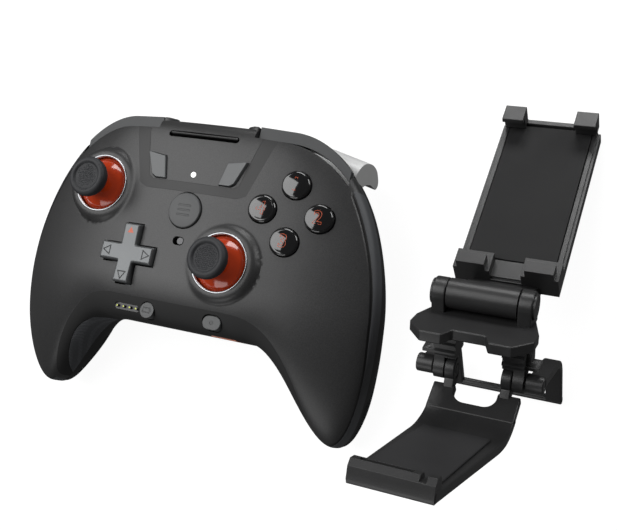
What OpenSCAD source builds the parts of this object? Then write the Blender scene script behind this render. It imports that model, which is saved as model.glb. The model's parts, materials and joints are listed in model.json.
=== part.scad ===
// Mobile game controller lying on its back, with its phone clip beside it.
// Millimetres. X runs right, Y to the top edge, Z up out of the face, floor at z 0.

/* [Controller body] */
// height of the middle of the face over the floor
face_h = 50; // [50:0.5:52]
// half of the width over the handles
half_w = 79; // [77:0.5:81]
// top edge of the body, where the bridge lies between the bumpers
top_y = 43.5; // [43:0.5:44]
// lower edge of the chin
chin_y = -38; // [-39:0.5:-37.5]
// lower end of the handles
tip_y = -70; // [-73:0.5:-68]
// wall of both shells
wall = 2.2; // [2:0.1:2.4]
// drop of the face, in mm for each mm of x squared
face_curve = 0.002; // [0.0016:0.0001:0.0021]

/* [Controls] */
// left stick, across
stick_lx = -41.7; // [-42.5:0.1:-41]
// left stick, along
stick_ly = 13.3; // [12.5:0.1:14]
// right stick, across
stick_rx = 19.7; // [19:0.1:20.2]
// right stick, along
stick_ry = -11; // [-11.5:0.1:-10.5]
// diameter of a stick's rubber cap
cap_d = 16; // [15:0.5:17]
// height of a cap's top over its ring
cap_rise = 11.4; // [10.5:0.1:12]
// radius of a stick's ball skirt
dome_r = 14.6; // [14.4:0.1:14.8]
// middle of the four action buttons, across
pad_x = 42.5; // [42:0.1:43]
// middle of the four action buttons, along
pad_y = 12.1; // [11.5:0.1:12.5]
// from that middle to each button
pad_step = 11; // [10.6:0.1:11.2]
// diameter of an action button
button_d = 10.8; // [10.4:0.1:11]
// middle of the direction pad, across
dpad_x = -20.8; // [-21.2:0.1:-20.4]
// middle of the direction pad, along
dpad_y = -13.2; // [-13.6:0.1:-12.8]
// length of the direction pad's cross
dpad_len = 23.6; // [23:0.1:24]
// width of an arm of the cross
dpad_arm = 7; // [6.6:0.1:7.4]
// gap round each button in its hole
button_gap = 0.4; // [0.35:0.05:0.5]

/* [Triggers and bumpers] */
// width of a trigger
trigger_w = 23; // [22:0.5:24]
// swing of the triggers' axis from X, in degrees
trigger_turn = 14; // [12:0.5:15]
// diameter of a trigger's hinge pin
trigger_pin_d = 2; // [2:0.1:2.4]
// running clearance of pins in their bores, on the radius
run_fit = 0.05; // [0.03:0.01:0.08]
// gap between a bumper and the body
bumper_gap = 0.45; // [0.4:0.05:0.6]

/* [Phone clip] */
// middle of the clip, across
clip_x = 124; // [122:0.5:127]
// barrel axis, along
barrel_y = -9.2; // [-11:0.2:-8]
// lean of the posts back from upright, in degrees
clip_lean = 50; // [49:0.25:51]
// slope of the phone tray down to its far end, in degrees
tray_slope = 25; // [24:0.5:26]
// diameter of the hinge barrel
barrel_d = 10; // [9:0.5:10.5]
// width of the tray
tray_w = 37; // [36:0.5:38]
// length of the tray
tray_len = 74.3; // [72:0.5:76]
// diameter of the knuckle pins
clip_pin_d = 3; // [2.8:0.1:3.2]

/* [Hidden] */
$fn = 48;

// body outline, seen from the front
wide_y = -25;
top_half = 36;
chin_half = 32;
tip_x = half_w - 12.5;
// grid of the shells: steps across and along
NI = 40;
NJ = 16;
// sharpness of the rolled edges, front and rear
roll_x = 5;
roll_chin = 8;
roll_grip = 4.8;
back_x = 3.4;
back_y = 3;
// handle drop of the face and depth of the rear
tip_drop = 16;
back_depth = 36;
grip_depth = face_h - back_depth;
grip_skin = 0.9;

function sm(t) = let (u = max(0, min(1, t))) u * u * (3 - 2 * u);
function edge(t, n) = pow(max(0, 1 - pow(abs(t), n)), 1 / n);
function ylow(ax, o) =
  ax <= chin_half ? chin_y + o
  : ax <= tip_x ? chin_y + o - (chin_y - tip_y) * sm(pow((ax - chin_half) / (tip_x - chin_half), 1.15))
  : wide_y - (wide_y - tip_y - o) * sqrt(max(0, 1 - pow((ax - tip_x) / (half_w - o - tip_x), 2)));
function arc_y(ax, top, half) =
  ax <= top_half ? top
  : wide_y + (top - wide_y) * sqrt(max(0, 1 - pow((ax - top_half) / (half - top_half), 2)));
function yhigh(ax, o) = arc_y(ax, top_y - o, half_w - o);
function crown(x, y) =
  face_h - face_curve * x * x - (y < -20 ? tip_drop * pow((-20 - y) / 50, 1.7) : 0);
function seam(y) =
  face_h - 19 + 0.14 * (y - 12) - (y < -24 ? 8 * pow((-24 - y) / 46, 1.5) : 0);
function back(x, y) =
  face_h - back_depth - grip_depth * sm((abs(x) - 28) / 26) * sm((12 - y) / 48);
function roll_y(ax) = roll_chin - (roll_chin - roll_grip) * sm((ax - 26) / 24);
function sx(i, o) = (half_w - o) * 0.999 * sin(90 * (2 * i / NI - 1));
function sy(i, j, o) =
  let (ax = abs(sx(i, o)), lo = ylow(ax, o)) lo + (yhigh(ax, o) - lo) * (1 - cos(180 * j / NJ)) / 2;
function rise(i, j, o, nx, ny) =
  (i == 0 || i == NI) ? 0 : edge(cos(180 * j / NJ), ny) * edge(sx(i, o) / (half_w - o), nx);
function front_pt(i, j, o) =
  let (x = sx(i, o), y = sy(i, j, o), s = seam(y))
  [x, y, s + (crown(x, y) - o - s) * rise(i, j, o, roll_x, roll_y(abs(x)))];
function rear_pt(i, j, o) =
  let (x = sx(i, o), y = sy(i, j, o), s = seam(y))
  [x, y, s - (s - back(x, y) - o) * rise(i, j, o, back_x, back_y)];

// true height of the front and of the back at a place
function along(x, y) = let (lo = ylow(abs(x), 0)) 2 * (y - lo) / (yhigh(abs(x), 0) - lo) - 1;
function front_z(x, y) =
  seam(y) + (crown(x, y) - seam(y)) * edge(along(x, y), roll_y(abs(x))) * edge(x / half_w, roll_x);
function rear_z(x, y) =
  seam(y) - (seam(y) - back(x, y)) * edge(along(x, y), back_y) * edge(x / half_w, back_x);

// two grids of points and the rim between them, as one closed solid
function vid(i, j, ni, nj, k) = k * (ni + 1) * (nj + 1) + i * (nj + 1) + j;
function quad(a, b, c, d) = [[a, b, c], [a, c, d]];
function flip(fs, on) = on ? [for (f = fs) [f[2], f[1], f[0]]] : fs;
function grid_faces(ni, nj) = concat(
  [for (k = [0:ni - 1], m = [0:nj - 1]) let (i = (k + floor(ni / 2)) % ni, j = (m + floor(nj / 2)) % nj)
    each quad(vid(i, j, ni, nj, 0), vid(i, j + 1, ni, nj, 0),
      vid(i + 1, j + 1, ni, nj, 0), vid(i + 1, j, ni, nj, 0))],
  [for (i = [0:ni - 1], j = [0:nj - 1]) each quad(vid(i, j, ni, nj, 1), vid(i + 1, j, ni, nj, 1),
    vid(i + 1, j + 1, ni, nj, 1), vid(i, j + 1, ni, nj, 1))],
  [for (i = [0:ni - 1]) each quad(vid(i, 0, ni, nj, 0), vid(i + 1, 0, ni, nj, 0),
    vid(i + 1, 0, ni, nj, 1), vid(i, 0, ni, nj, 1))],
  [for (i = [0:ni - 1]) each quad(vid(i + 1, nj, ni, nj, 0), vid(i, nj, ni, nj, 0),
    vid(i, nj, ni, nj, 1), vid(i + 1, nj, ni, nj, 1))],
  [for (j = [0:nj - 1]) each quad(vid(0, j + 1, ni, nj, 0), vid(0, j, ni, nj, 0),
    vid(0, j, ni, nj, 1), vid(0, j + 1, ni, nj, 1))],
  [for (j = [0:nj - 1]) each quad(vid(ni, j, ni, nj, 0), vid(ni, j + 1, ni, nj, 0),
    vid(ni, j + 1, ni, nj, 1), vid(ni, j, ni, nj, 1))]);

// stick heights: top of each collar, and the pivot below it
collar_l = face_h - 0.8;
collar_r = face_h + 0.5;
pivot_drop = 11.6;
ring_ro = 11.5;
ring_ri = 10.5;
collar_ro = 13.4;
collar_hole = 15.3;
dome_room = 0.5;
skirt_angle = 66;

// boards
lower_z = face_h - 22.6;
upper_z = face_h - 16.6;
board_t = 1.6;
// reach of both boards to the left and right
board_l = half_w - 26.4;
board_r = half_w - 29.6;

// action buttons
flange_z = face_h - 11.8;
flange_t = 1;
button_travel = 1.4;
dpad_pivot = face_h - 7.4;
// room for the tilted pad in its hole
dpad_gap = 0.65;
key_travel = 0.7;
hole_r = button_d / 2 + button_gap;

// bumpers
bump_in = 22;
bump_out = half_w - 19;
bump_lo = face_h - 14.1;
bump_hi = face_h - 4.6;
bump_top = 44.4;
bump_half = half_w + 0.4;
bump_back = 39.6;
bump_back_half = half_w - 0.6;
bump_play = 1.1;
// fall of a bumper's top from its inner to its outer end
bump_fall = 6.6;
// share of a bumper that the wall behind it covers
bumper_backed = 0.8;

// triggers: hinge place and swing
hinge_x = 46;
trigger_taper = 3.6;
hinge_y = 27.5;
hinge_z = face_h - 23;

// rear housing
house_x = 33;
house_y0 = -18;
house_y1 = 24;
house_wall = 2;

// clip: places in the clip's own frame, f forward and u up from the barrel axis
pin_f = 3.7;
pin_u = -27.2;
knuckle_r = 4;
plate_tilt = 12;
post_in = 7.8;
post_out = 15.2;
lug_mid = 11.5;
side_gap = 0.3;
// clip tray: from the barrel axis to the lower end of its pad, along and out of its slope
tray_c = 29.1;
tray_n = -18.9;
tray_t = 5.6;
arm_half = 11.6;
pad_half = tray_w / 2 - 2.9;
tray_end = tray_len - 7.8;
// the far end of the tray lies on the floor, which sets the height of the barrel
barrel_z = (tray_c + tray_end) * sin(tray_slope) + (tray_t - tray_n) * cos(tray_slope);

module lozenge(len, wid, h) {
  union() {
    translate([-(len - wid) / 2, -wid / 2, 0]) cube([len - wid, wid, h]);
    for (s = [-1, 1]) translate([s * (len - wid) / 2, 0, 0]) cylinder(d = wid, h = h);
  }
}

module rounded_block(x, y, z, r) {
  union() {
    translate([-x / 2 + r, -y / 2, 0]) cube([x - 2 * r, y, z]);
    translate([-x / 2, -y / 2 + r, 0]) cube([x, y - 2 * r, z]);
    for (a = [-1, 1], b = [-1, 1])
      translate([a * (x / 2 - r), b * (y / 2 - r), 0]) cylinder(r = r, h = z);
  }
}

// rounded block whose lower edges are cut back by c
module tub(x, y, z, r, c) {
  intersection() {
    rounded_block(x, y, z, r);
    translate([-x, 0, 0]) rotate([90, 0, 90]) linear_extrude(2 * x)
      polygon([[-y / 2 - 1, c + 0.8], [-y / 2 + 1.2 * c, 0], [y / 2 - 1.2 * c, 0], [y / 2 + 1, c + 0.8],
        [y / 2 + 1, z], [-y / 2 - 1, z]]);
    translate([0, y, 0]) rotate([90, 0, 0]) linear_extrude(2 * y)
      polygon([[-x / 2 - 1, c + 0.8], [-x / 2 + 1.2 * c, 0], [x / 2 - 1.2 * c, 0], [x / 2 + 1, c + 0.8],
        [x / 2 + 1, z], [-x / 2 - 1, z]]);
  }
}

// slanted menu keys beside the top panel, side is 1 for the right one
module key_shape(side, grow, z0, z1) {
  translate([0, 0, z0]) linear_extrude(z1 - z0)
    polygon([[side * (22 + grow), 28.6 + grow], [side * (14.2 - grow), 27.4 + grow],
      [side * (12 - grow), 18.6 - grow], [side * (16.6 + grow), 18.6 - grow],
      [side * (18.4 + grow), 19.8 - grow]]);
}

screw_side = half_w - 22;
screw_places = [[-screw_side, -8], [screw_side, -8], [-25, 33.4], [25, 33.4]];
screw_d = 2.4;
boss_d = 7.4;
post_d = 6.2;

function bump_steps(n) = [for (k = [0:n]) bump_in + (bump_out - bump_in) * k / n];
module bumper_plan(side, grow_in, grow_out, x0, x1) {
  n = 14;
  xs = [for (k = [0:n]) x0 + (x1 - x0) * k / n];
  polygon(concat([for (x = xs) [side * x, arc_y(x, bump_top, bump_half) + grow_out]],
    [for (k = [n:-1:0]) let (x = xs[k])
      [side * x, arc_y(x, bump_back, bump_back_half) - grow_in * (x - x0 + 12) / (x1 - x0 + 12)]]));
}

module trigger_place(side) {
  translate([side * hinge_x, hinge_y, hinge_z]) rotate([0, 0, -side * trigger_turn]) children();
}

// flared collar round a stick, bored for its ring and hollowed for its ball skirt
module collar(x, y, z, deep) {
  translate([x, y, 0])
  difference() {
    translate([0, 0, z - deep]) cylinder(r1 = collar_ro + 0.76 * deep, r2 = collar_ro, h = deep);
    translate([0, 0, z - pivot_drop]) sphere(r = dome_r + dome_room);
    translate([0, 0, z - 20]) cylinder(r = ring_ro, h = 30);
  }
}

module front_shell() {
  color("#303134")
  union() {
    difference() {
      polyhedron(
        points = concat([for (i = [0:NI], j = [0:NJ]) front_pt(i, j, 0)],
          [for (i = [0:NI], j = [0:NJ]) front_pt(i, j, wall)]),
        faces = grid_faces(NI, NJ), convexity = 8);
      translate([stick_lx, stick_ly, face_h - 20]) cylinder(r = collar_hole, h = 30);
      translate([stick_rx, stick_ry, face_h - 20]) cylinder(r = collar_hole, h = 30);
      for (a = [0:3]) translate([pad_x + pad_step * cos(90 * a), pad_y + pad_step * sin(90 * a), face_h - 14])
        cylinder(r = hole_r, h = 20);
      translate([dpad_x, dpad_y, face_h - 6]) {
        translate([-dpad_len / 2 - dpad_gap, -dpad_arm / 2 - dpad_gap, 0])
          cube([dpad_len + 2 * dpad_gap, dpad_arm + 2 * dpad_gap, 12]);
        translate([-dpad_arm / 2 - dpad_gap, -dpad_len / 2 - dpad_gap, 0])
          cube([dpad_arm + 2 * dpad_gap, dpad_len + 2 * dpad_gap, 12]);
      }
      translate([0, 6.9, face_h - 6]) cylinder(r = 7 + button_gap, h = 12);
      for (s = [-1, 1]) key_shape(s, button_gap, face_h - 6, face_h + 6);
      translate([-8.2, -33.6, face_h - 12]) cylinder(r = 3 + button_gap, h = 20);
      translate([20.2, -33.5, face_h - 12]) lozenge(7.8 + 2 * button_gap, 5.4 + 2 * button_gap, 20);
      translate([-18.4, -33.8, face_h - 12]) lozenge(11.4, 2.6, 20);
      translate([0, 21.3, face_h - 6]) cylinder(r = 1.1, h = 12);
      translate([0, -5.2, face_h - 6]) lozenge(5, 3.4, 12);
      translate([0, 37.1, face_h - 6]) lozenge(31.6, 2.6, 12);
      for (s = [-1, 1]) translate([0, 0, bump_lo - 4]) linear_extrude(40)
        bumper_plan(s, bumper_gap + bump_play, 20, bump_in - bumper_gap, bump_out + bumper_gap);
      translate([16.6, chin_y - 3, face_h - 19]) cube([10.8, 8, 6.4]);
    }
    collar(stick_lx, stick_ly, collar_l, 8);
    collar(stick_rx, stick_ry, collar_r, 6);
    difference() {
      union() for (p = screw_places) translate([p[0], p[1], seam(p[1]) + 0.2])
        cylinder(d = post_d, h = front_z(p[0], p[1]) - seam(p[1]) - 1.4);
      for (p = screw_places) translate([p[0], p[1], seam(p[1]) - 5]) cylinder(d = screw_d, h = 13);
    }
  }
}

module rear_shell() {
  color("#26272a")
  difference() {
    union() {
      polyhedron(
        points = concat([for (i = [0:NI], j = [0:NJ]) rear_pt(i, j, 0)],
          [for (i = [0:NI], j = [0:NJ]) rear_pt(i, j, wall)]),
        faces = flip(grid_faces(NI, NJ), true), convexity = 8);
      for (p = screw_places) translate([p[0], p[1], rear_z(p[0], p[1]) + 1])
        cylinder(d = boss_d, h = seam(p[1]) - rear_z(p[0], p[1]) - 1);
    }
    for (s = [-1, 1]) trigger_place(s)
      translate([-trigger_w / 2 - 3.4, -7, -40]) cube([trigger_w + 6.8, 60, 46.6]);
    translate([0, (house_y0 + house_y1) / 2, -5])
      rounded_block(2 * house_x + 0.4, house_y1 - house_y0 + 0.4, 40, 6);
    for (p = screw_places) translate([p[0], p[1], 0]) {
      translate([0, 0, -20]) cylinder(d = screw_d + 0.6, h = 80);
      translate([0, 0, -20]) cylinder(d = 5.4, h = 20 + rear_z(p[0], p[1]) + 6);
    }
  }
}

// rubber skin over the back of a handle, on the rear shell's own grid
module grip(side) {
  i0 = side > 0 ? 28 : 3;
  ni = 9;
  nj = 8;
  color("#1d1e20")
  polyhedron(
    points = concat([for (i = [0:ni], j = [0:nj]) rear_pt(i + i0, j + 1, -grip_skin)],
      [for (i = [0:ni], j = [0:nj]) rear_pt(i + i0, j + 1, 0)]),
    faces = flip(grid_faces(ni, nj), true), convexity = 6);
}
module grip_l() { grip(-1); }
module grip_r() { grip(1); }

module rear_housing() {
  mid = (house_y0 + house_y1) / 2;
  deep = house_y1 - house_y0;
  top = face_h - back_depth + wall;
  color("#232427")
  translate([0, mid, 0])
  difference() {
    union() {
      tub(2 * house_x, deep, top + 3.3, 5.8, 2.6);
      translate([0, 0, top + 1.8]) rounded_block(2 * house_x + 5, deep + 4.4, 1.5, 6);
    }
    translate([0, 0, house_wall]) rounded_block(2 * house_x - 2 * house_wall, deep - 2 * house_wall, 40, 4);
  }
}

module battery() {
  color("#8a8d92")
  translate([0, (house_y0 + house_y1) / 2, house_wall]) rounded_block(56, 34, 10, 2);
}

module lower_board() {
  color("#1e4a33")
  difference() {
    translate([-board_l, -28, lower_z - board_t]) cube([board_r + board_l, 46.4, board_t]);
    for (s = [-1, 1]) translate([s * (board_r - 5.4), -24, lower_z - 5]) cylinder(d = 3, h = 10);
  }
}

module upper_board() {
  color("#1f5238")
  difference() {
    union() {
      translate([-board_l, -31, upper_z - board_t]) cube([board_r + board_l, 59, board_t]);
      translate([board_r - 0.4, 2, upper_z - board_t]) cube([10, 20, board_t]);
      translate([-26, -34.6, upper_z - board_t]) cube([40, 4, board_t]);
      translate([dpad_x, dpad_y, upper_z - 1]) cylinder(r = 1.5, h = dpad_pivot - upper_z);
    }
    translate([stick_lx, stick_ly, upper_z - 5]) cylinder(r = 13.4, h = 10);
    translate([stick_rx, stick_ry, upper_z - 5]) cylinder(r = 13.4, h = 10);
  }
}

module action_membrane() {
  color("#6d6f73")
  union() {
    translate([pad_x - 15, pad_y - 15, upper_z]) cube([31, 30, 1]);
    for (a = [0:3]) translate([pad_x + pad_step * cos(90 * a), pad_y + pad_step * sin(90 * a), upper_z + 0.5])
      cylinder(r = 3, h = flange_z - upper_z - 0.5 - button_travel - 0.4);
  }
}
module dpad_membrane() {
  color("#6d6f73")
  translate([dpad_x, dpad_y, upper_z])
  union() {
    difference() {
      translate([-13, -13, 0]) cube([26, 26, 1]);
      translate([0, 0, -1]) cylinder(r = 2, h = 4);
    }
    for (a = [0:3]) translate([9 * cos(90 * a), 9 * sin(90 * a), 0.5])
      cylinder(r = 2.4, h = dpad_pivot - upper_z - 0.5 - 1.5);
  }
}

module bumper(side) {
  color("#4a4c50")
  difference() {
    translate([0, 0, bump_lo]) linear_extrude(bump_hi - bump_lo)
      bumper_plan(side, 0, 0, bump_in, bump_out);
    translate([0, 80, 0]) rotate([90, 0, 0]) linear_extrude(80)
      polygon([[side * bump_in, bump_hi], [side * bump_out, bump_hi - bump_fall],
        [side * (bump_out + 5), bump_hi - bump_fall], [side * (bump_out + 5), bump_hi + 5], [side * bump_in, bump_hi + 5]]);
    translate([side * (bump_in + 3), 42.4, bump_lo - 1]) cylinder(r = 1 + run_fit, h = 8.6);
    translate([side * (bump_in + 3) - 5, 36, bump_lo - 1]) cube([10, 12, 3]);
  }
}
module bumper_l() { bumper(-1); }
module bumper_r() { bumper(1); }

// wall behind both bumpers, with the pegs they turn on
module bumper_wall(side) {
  n = 14;
  x0 = bump_in - bumper_gap;
  x1 = bump_out + bumper_gap;
  xs = [for (k = [0:n]) bump_in + 0.2 + (bump_out - bump_in) * bumper_backed * k / n];
  ys = [for (x = xs) arc_y(x, bump_back, bump_back_half)
    - (bumper_gap + bump_play) * (x - x0 + 12) / (x1 - x0 + 12) - 0.1];
  polygon(concat([for (k = [0:n]) [side * xs[k], ys[k]]],
    [for (k = [n:-1:0]) [side * xs[k], ys[k] - 1.5]]));
}
module bumper_frame() {
  color("#1f2023")
  union() {
    for (s = [-1, 1]) {
      translate([0, 0, bump_lo]) linear_extrude(2) bumper_wall(s);
      translate([s * (bump_in + 3), 42.4, bump_lo + 0.5]) cylinder(r = 1, h = 6.6);
      translate([s * (bump_in + 3) - (s > 0 ? 2.4 : 4), 37.8, bump_lo + 0.5]) cube([6.4, 6.4, 1.1]);
    }
    translate([-bump_in - 2, 37.5, bump_lo + 0.5]) cube([2 * bump_in + 4, 1.5, 2]);
  }
}

// the outer side of a trigger narrows in front of its hinge
module trigger_side(side) {
  difference() {
    intersection() {
      trigger_block();
      translate([0, 0, -40]) linear_extrude(80) polygon([[-side * trigger_w / 2, -10], [side * trigger_w / 2, -10],
        [side * trigger_w / 2, 4], [side * (trigger_w / 2 - trigger_taper), 13],
        [side * (trigger_w / 2 - trigger_taper), 40], [-side * trigger_w / 2, 40]]);
    }
    translate([-trigger_w, 0, 0]) rotate([0, 90, 0])
      cylinder(r = trigger_pin_d / 2 + run_fit, h = 2 * trigger_w);
  }
}
module trigger_block() {
  rotate([90, 0, 90]) translate([0, 0, -trigger_w / 2]) linear_extrude(trigger_w)
    polygon([[-2.6, 2.6], [0, 3.6], [4, 4.4], [8.5, 4.6], [12.2, 3.4], [14.8, 0.6], [16.2, -4], [16.4, -8],
      [15.8, -12], [14.2, -15.6], [12.4, -18.4], [10.6, -19.4], [9.2, -18.6], [9.2, -15.4], [9.2, -11.6],
      [7.8, -7.6], [4.8, -4.6], [0, -3.6], [-2.6, -2.6], [-3.6, 0]]);
}
module trigger_l() { color("#b9bcc0") trigger_place(-1) trigger_side(-1); }
module trigger_r() { color("#b9bcc0") trigger_place(1) trigger_side(1); }

module trigger_bracket_side() {
  difference() {
    union() {
      for (s = [-1, 1]) translate([s * (trigger_w / 2 + 1.6) - 1.2, -6.4, -6]) cube([2.4, 9.4, 9.4]);
      translate([-trigger_w / 2 - 2.8, -6.4, -6]) cube([trigger_w + 5.6, 1.6, 9.4]);
    }
    translate([-trigger_w, 0, 0]) rotate([0, 90, 0]) cylinder(d = trigger_pin_d, h = 2 * trigger_w);
  }
}
module trigger_brackets() {
  color("#2b2c2f")
  for (s = [-1, 1]) trigger_place(s) trigger_bracket_side();
}
module trigger_pins() {
  color("#c4c7cc")
  for (s = [-1, 1]) trigger_place(s) translate([-trigger_w / 2 - 2.8, 0, 0]) rotate([0, 90, 0])
    cylinder(d = trigger_pin_d, h = trigger_w + 5.6);
}

module stick_ring(x, y, z) {
  color("#d3d6da")
  translate([x, y, z])
  difference() {
    union() {
      translate([0, 0, -1.4]) cylinder(r = ring_ro, h = 1.8);
      translate([0, 0, 0]) cylinder(r = ring_ro + 0.5, h = 0.5);
    }
    translate([0, 0, -5]) cylinder(r = ring_ri, h = 10);
  }
}
module stick_ring_l() { stick_ring(stick_lx, stick_ly, collar_l); }
module stick_ring_r() { stick_ring(stick_rx, stick_ry, collar_r); }

// sensor base on the lower board, open at the top, with the two trunnion posts of the yoke
module stick_module(x, y, z) {
  color("#5b5d62")
  translate([x, y, 0])
  difference() {
    union() {
      translate([-8.5, -6.2, lower_z]) cube([17, 12.4, 1.4]);
      for (s = [-1, 1]) translate([s * 9.3 - 1.1, -3, lower_z]) cube([2.2, 6, z + 2.4 - lower_z]);
      for (s = [-1, 1]) translate([s * 9.3 - 1.1, -6, lower_z]) cube([2.2, 12, 2]);
    }
    translate([-20, 0, z]) rotate([0, 90, 0]) cylinder(r = 1 + run_fit, h = 40);
  }
}
module stick_module_l() { stick_module(stick_lx, stick_ly, collar_l - pivot_drop); }
module stick_module_r() { stick_module(stick_rx, stick_ry, collar_r - pivot_drop); }

// frame that swings about X between the posts and carries the stick's own cross pin
module stick_yoke(x, y, z) {
  color("#d9dadc")
  translate([x, y, z])
  difference() {
    union() {
      translate([-7.6, -6.2, -1.8]) cube([15.2, 12.4, 3.6]);
      translate([-10.2, 0, 0]) rotate([0, 90, 0]) cylinder(r = 1, h = 20.4);
    }
    translate([-5.4, -4.2, -10]) cube([10.8, 8.4, 20]);
    translate([0, -20, 0]) rotate([-90, 0, 0]) cylinder(r = 1 + run_fit, h = 40);
  }
}
module stick_yoke_l() { stick_yoke(stick_lx, stick_ly, collar_l - pivot_drop); }
module stick_yoke_r() { stick_yoke(stick_rx, stick_ry, collar_r - pivot_drop); }

// coloured ball skirt with the stem and its cross pin
module stick_dome(x, y, z) {
  color("#c8401c")
  translate([x, y, z])
  union() {
    difference() {
      rotate_extrude() intersection() {
        difference() {
          circle(r = dome_r, $fn = 96);
          circle(r = dome_r - 1.3, $fn = 96);
        }
        polygon([[0, 0], [30 * sin(skirt_angle), 30 * cos(skirt_angle)], [0, 40]]);
      }
      translate([0, 0, 8]) cylinder(r = 3, h = 20);
    }
    translate([0, 0, -2]) cylinder(r = 3, h = pivot_drop + 9.4);
    translate([0, -6.1, 0]) rotate([-90, 0, 0]) cylinder(r = 1, h = 12.2);
  }
}
module stick_dome_l() { stick_dome(stick_lx, stick_ly, collar_l - pivot_drop); }
module stick_dome_r() { stick_dome(stick_rx, stick_ry, collar_r - pivot_drop); }

module stick_cap(x, y, z) {
  low = 5;
  r = cap_d / 2;
  top = cap_rise;
  color("#2b2c2f")
  translate([x, y, z])
  difference() {
    rotate_extrude()
      polygon([[0, low - 0.6], [5, low - 0.6], [5.6, low], [r - 1.2, low + 1.2], [r - 0.3, low + 2.4],
        [r, low + 3.8], [r - 0.2, top - 0.8], [r - 0.8, top - 0.15], [r - 1.5, top], [r - 2.1, top - 0.3],
        [r - 3.4, top - 0.8], [2.4, top - 1.2], [0, top - 1.25]]);
    cylinder(r = 3, h = 7.4);
  }
}
module stick_cap_l() { stick_cap(stick_lx, stick_ly, collar_l); }
module stick_cap_r() { stick_cap(stick_rx, stick_ry, collar_r); }

module dpad() {
  top = face_h + 1.9;
  color("#46484c")
  translate([dpad_x, dpad_y, 0])
  difference() {
    union() {
      for (a = [0, 90]) rotate([0, 0, a]) {
        translate([-dpad_len / 2, -dpad_arm / 2, face_h - 6.4]) cube([dpad_len, dpad_arm, top - face_h + 5.6]);
        translate([-dpad_len / 2 + 0.7, -dpad_arm / 2 + 0.7, face_h - 6.4])
          cube([dpad_len - 1.4, dpad_arm - 1.4, top - face_h + 6.4]);
      }
      translate([0, 0, face_h - 7.4]) cylinder(r = 13, h = 1.2);
    }
    translate([0, 0, face_h - 9]) cylinder(r = 3.2, h = 4);
  }
}

// small cross pivot under the direction pad, standing on the upper board
module dpad_rocker() {
  color("#3a3b3e")
  translate([dpad_x, dpad_y, 0])
  difference() {
    translate([0, 0, dpad_pivot - 1.8]) cylinder(r = 2.7, h = 3.6);
    translate([0, 0, dpad_pivot - 2.6]) cylinder(r = 1.8, h = 2);
  }
}

module action_button(a) {
  x = pad_x + pad_step * cos(90 * a);
  y = pad_y + pad_step * sin(90 * a);
  top = face_h - face_curve * x * x + 1.9;
  r = button_d / 2;
  color("#141416")
  translate([x, y, 0])
  rotate_extrude()
    polygon([[0, flange_z], [r + 0.9, flange_z], [r + 0.9, flange_z + flange_t], [r, flange_z + flange_t],
      [r, top - 1.3], [r - 0.35, top - 0.8], [r - 1.1, top - 0.4], [r - 2.4, top - 0.12], [0, top]]);
}
module button_east() { action_button(0); }
module button_north() { action_button(1); }
module button_west() { action_button(2); }
module button_south() { action_button(3); }

module menu_button() {
  color("#3f4145")
  translate([0, 6.9, 0])
  union() {
    translate([0, 0, face_h - 5]) cylinder(r = 7, h = 5.9);
    translate([0, 0, face_h - 5]) cylinder(r = 6.5, h = 6.3);
    translate([0, 0, face_h - 5.4]) cylinder(r = 8, h = 1.4);
    translate([0, 0, upper_z + key_travel + 0.4]) cylinder(r = 2.4, h = face_h - 5 - upper_z - key_travel - 0.4);
  }
}
module side_key(side) {
  color("#4b4e52")
  union() {
    key_shape(side, 0, face_h - 5, face_h + 0.6);
    translate([side * 16.6, 23.5, upper_z + key_travel + 0.4])
      cylinder(r = 2.2, h = face_h - 4.6 - upper_z - key_travel - 0.4);
    key_shape(side, 1, face_h - 5.4, face_h - 4);
  }
}
module select_button() { side_key(-1); }
module start_button() { side_key(1); }

module battery_button() {
  color("#3c3e42")
  translate([-8.2, -33.6, 0])
  union() {
    translate([0, 0, face_h - 9]) cylinder(r = 3, h = front_z(-8.2, -33.6) + 0.9 - face_h + 9);
    translate([-3.9, -0.5, face_h - 9.6]) cube([7.8, 4.4, 1.6]);
    translate([0, 1.2, upper_z + key_travel + 0.4]) cylinder(r = 1.6, h = face_h - 9 - upper_z - key_travel - 0.4);
  }
}
module program_button() {
  color("#3c3e42")
  translate([20.2, -33.5, 0])
  union() {
    translate([0, 0, face_h - 9]) lozenge(7.8, 5.4, front_z(20.2, -33.5) + 0.7 - face_h + 9);
    translate([-4.7, 0, face_h - 9.6]) cube([9.4, 3.5, 1.6]);
  }
}
module mode_switch() {
  color("#b4b6ba")
  translate([0.9, -5.2, 0])
  union() {
    translate([0, 0, face_h - 7]) cylinder(r = 1.35, h = 7.1);
    translate([-3.2, -2.2, face_h - 7]) cube([6.4, 4.4, 1.2]);
  }
}
module led_lenses() {
  color("#3d4130")
  translate([-18.4, -33.8, front_z(-18.4, -33.8) - 2.6])
  union() {
    lozenge(11.4, 2.6, 2);
    for (k = [0:3]) translate([-4.5 + 3 * k, 0, 0]) cylinder(r = 0.6, h = 2.9);
  }
}
module status_led() {
  color("#f4f4f0")
  translate([0, 21.3, face_h - 2.6]) cylinder(r = 1.1, h = 2.7);
}
module charge_port() {
  color("#d2571f")
  translate([16.6, chin_y - 0.2, face_h - 19])
  difference() {
    cube([10.8, 6, 6.4]);
    translate([1, -1, 1]) cube([8.8, 5.4, 4.4]);
  }
}

motor_d = 13;
motor_y = tip_y + 24;
function motor_x(side) = side * (half_w - 16);
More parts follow.
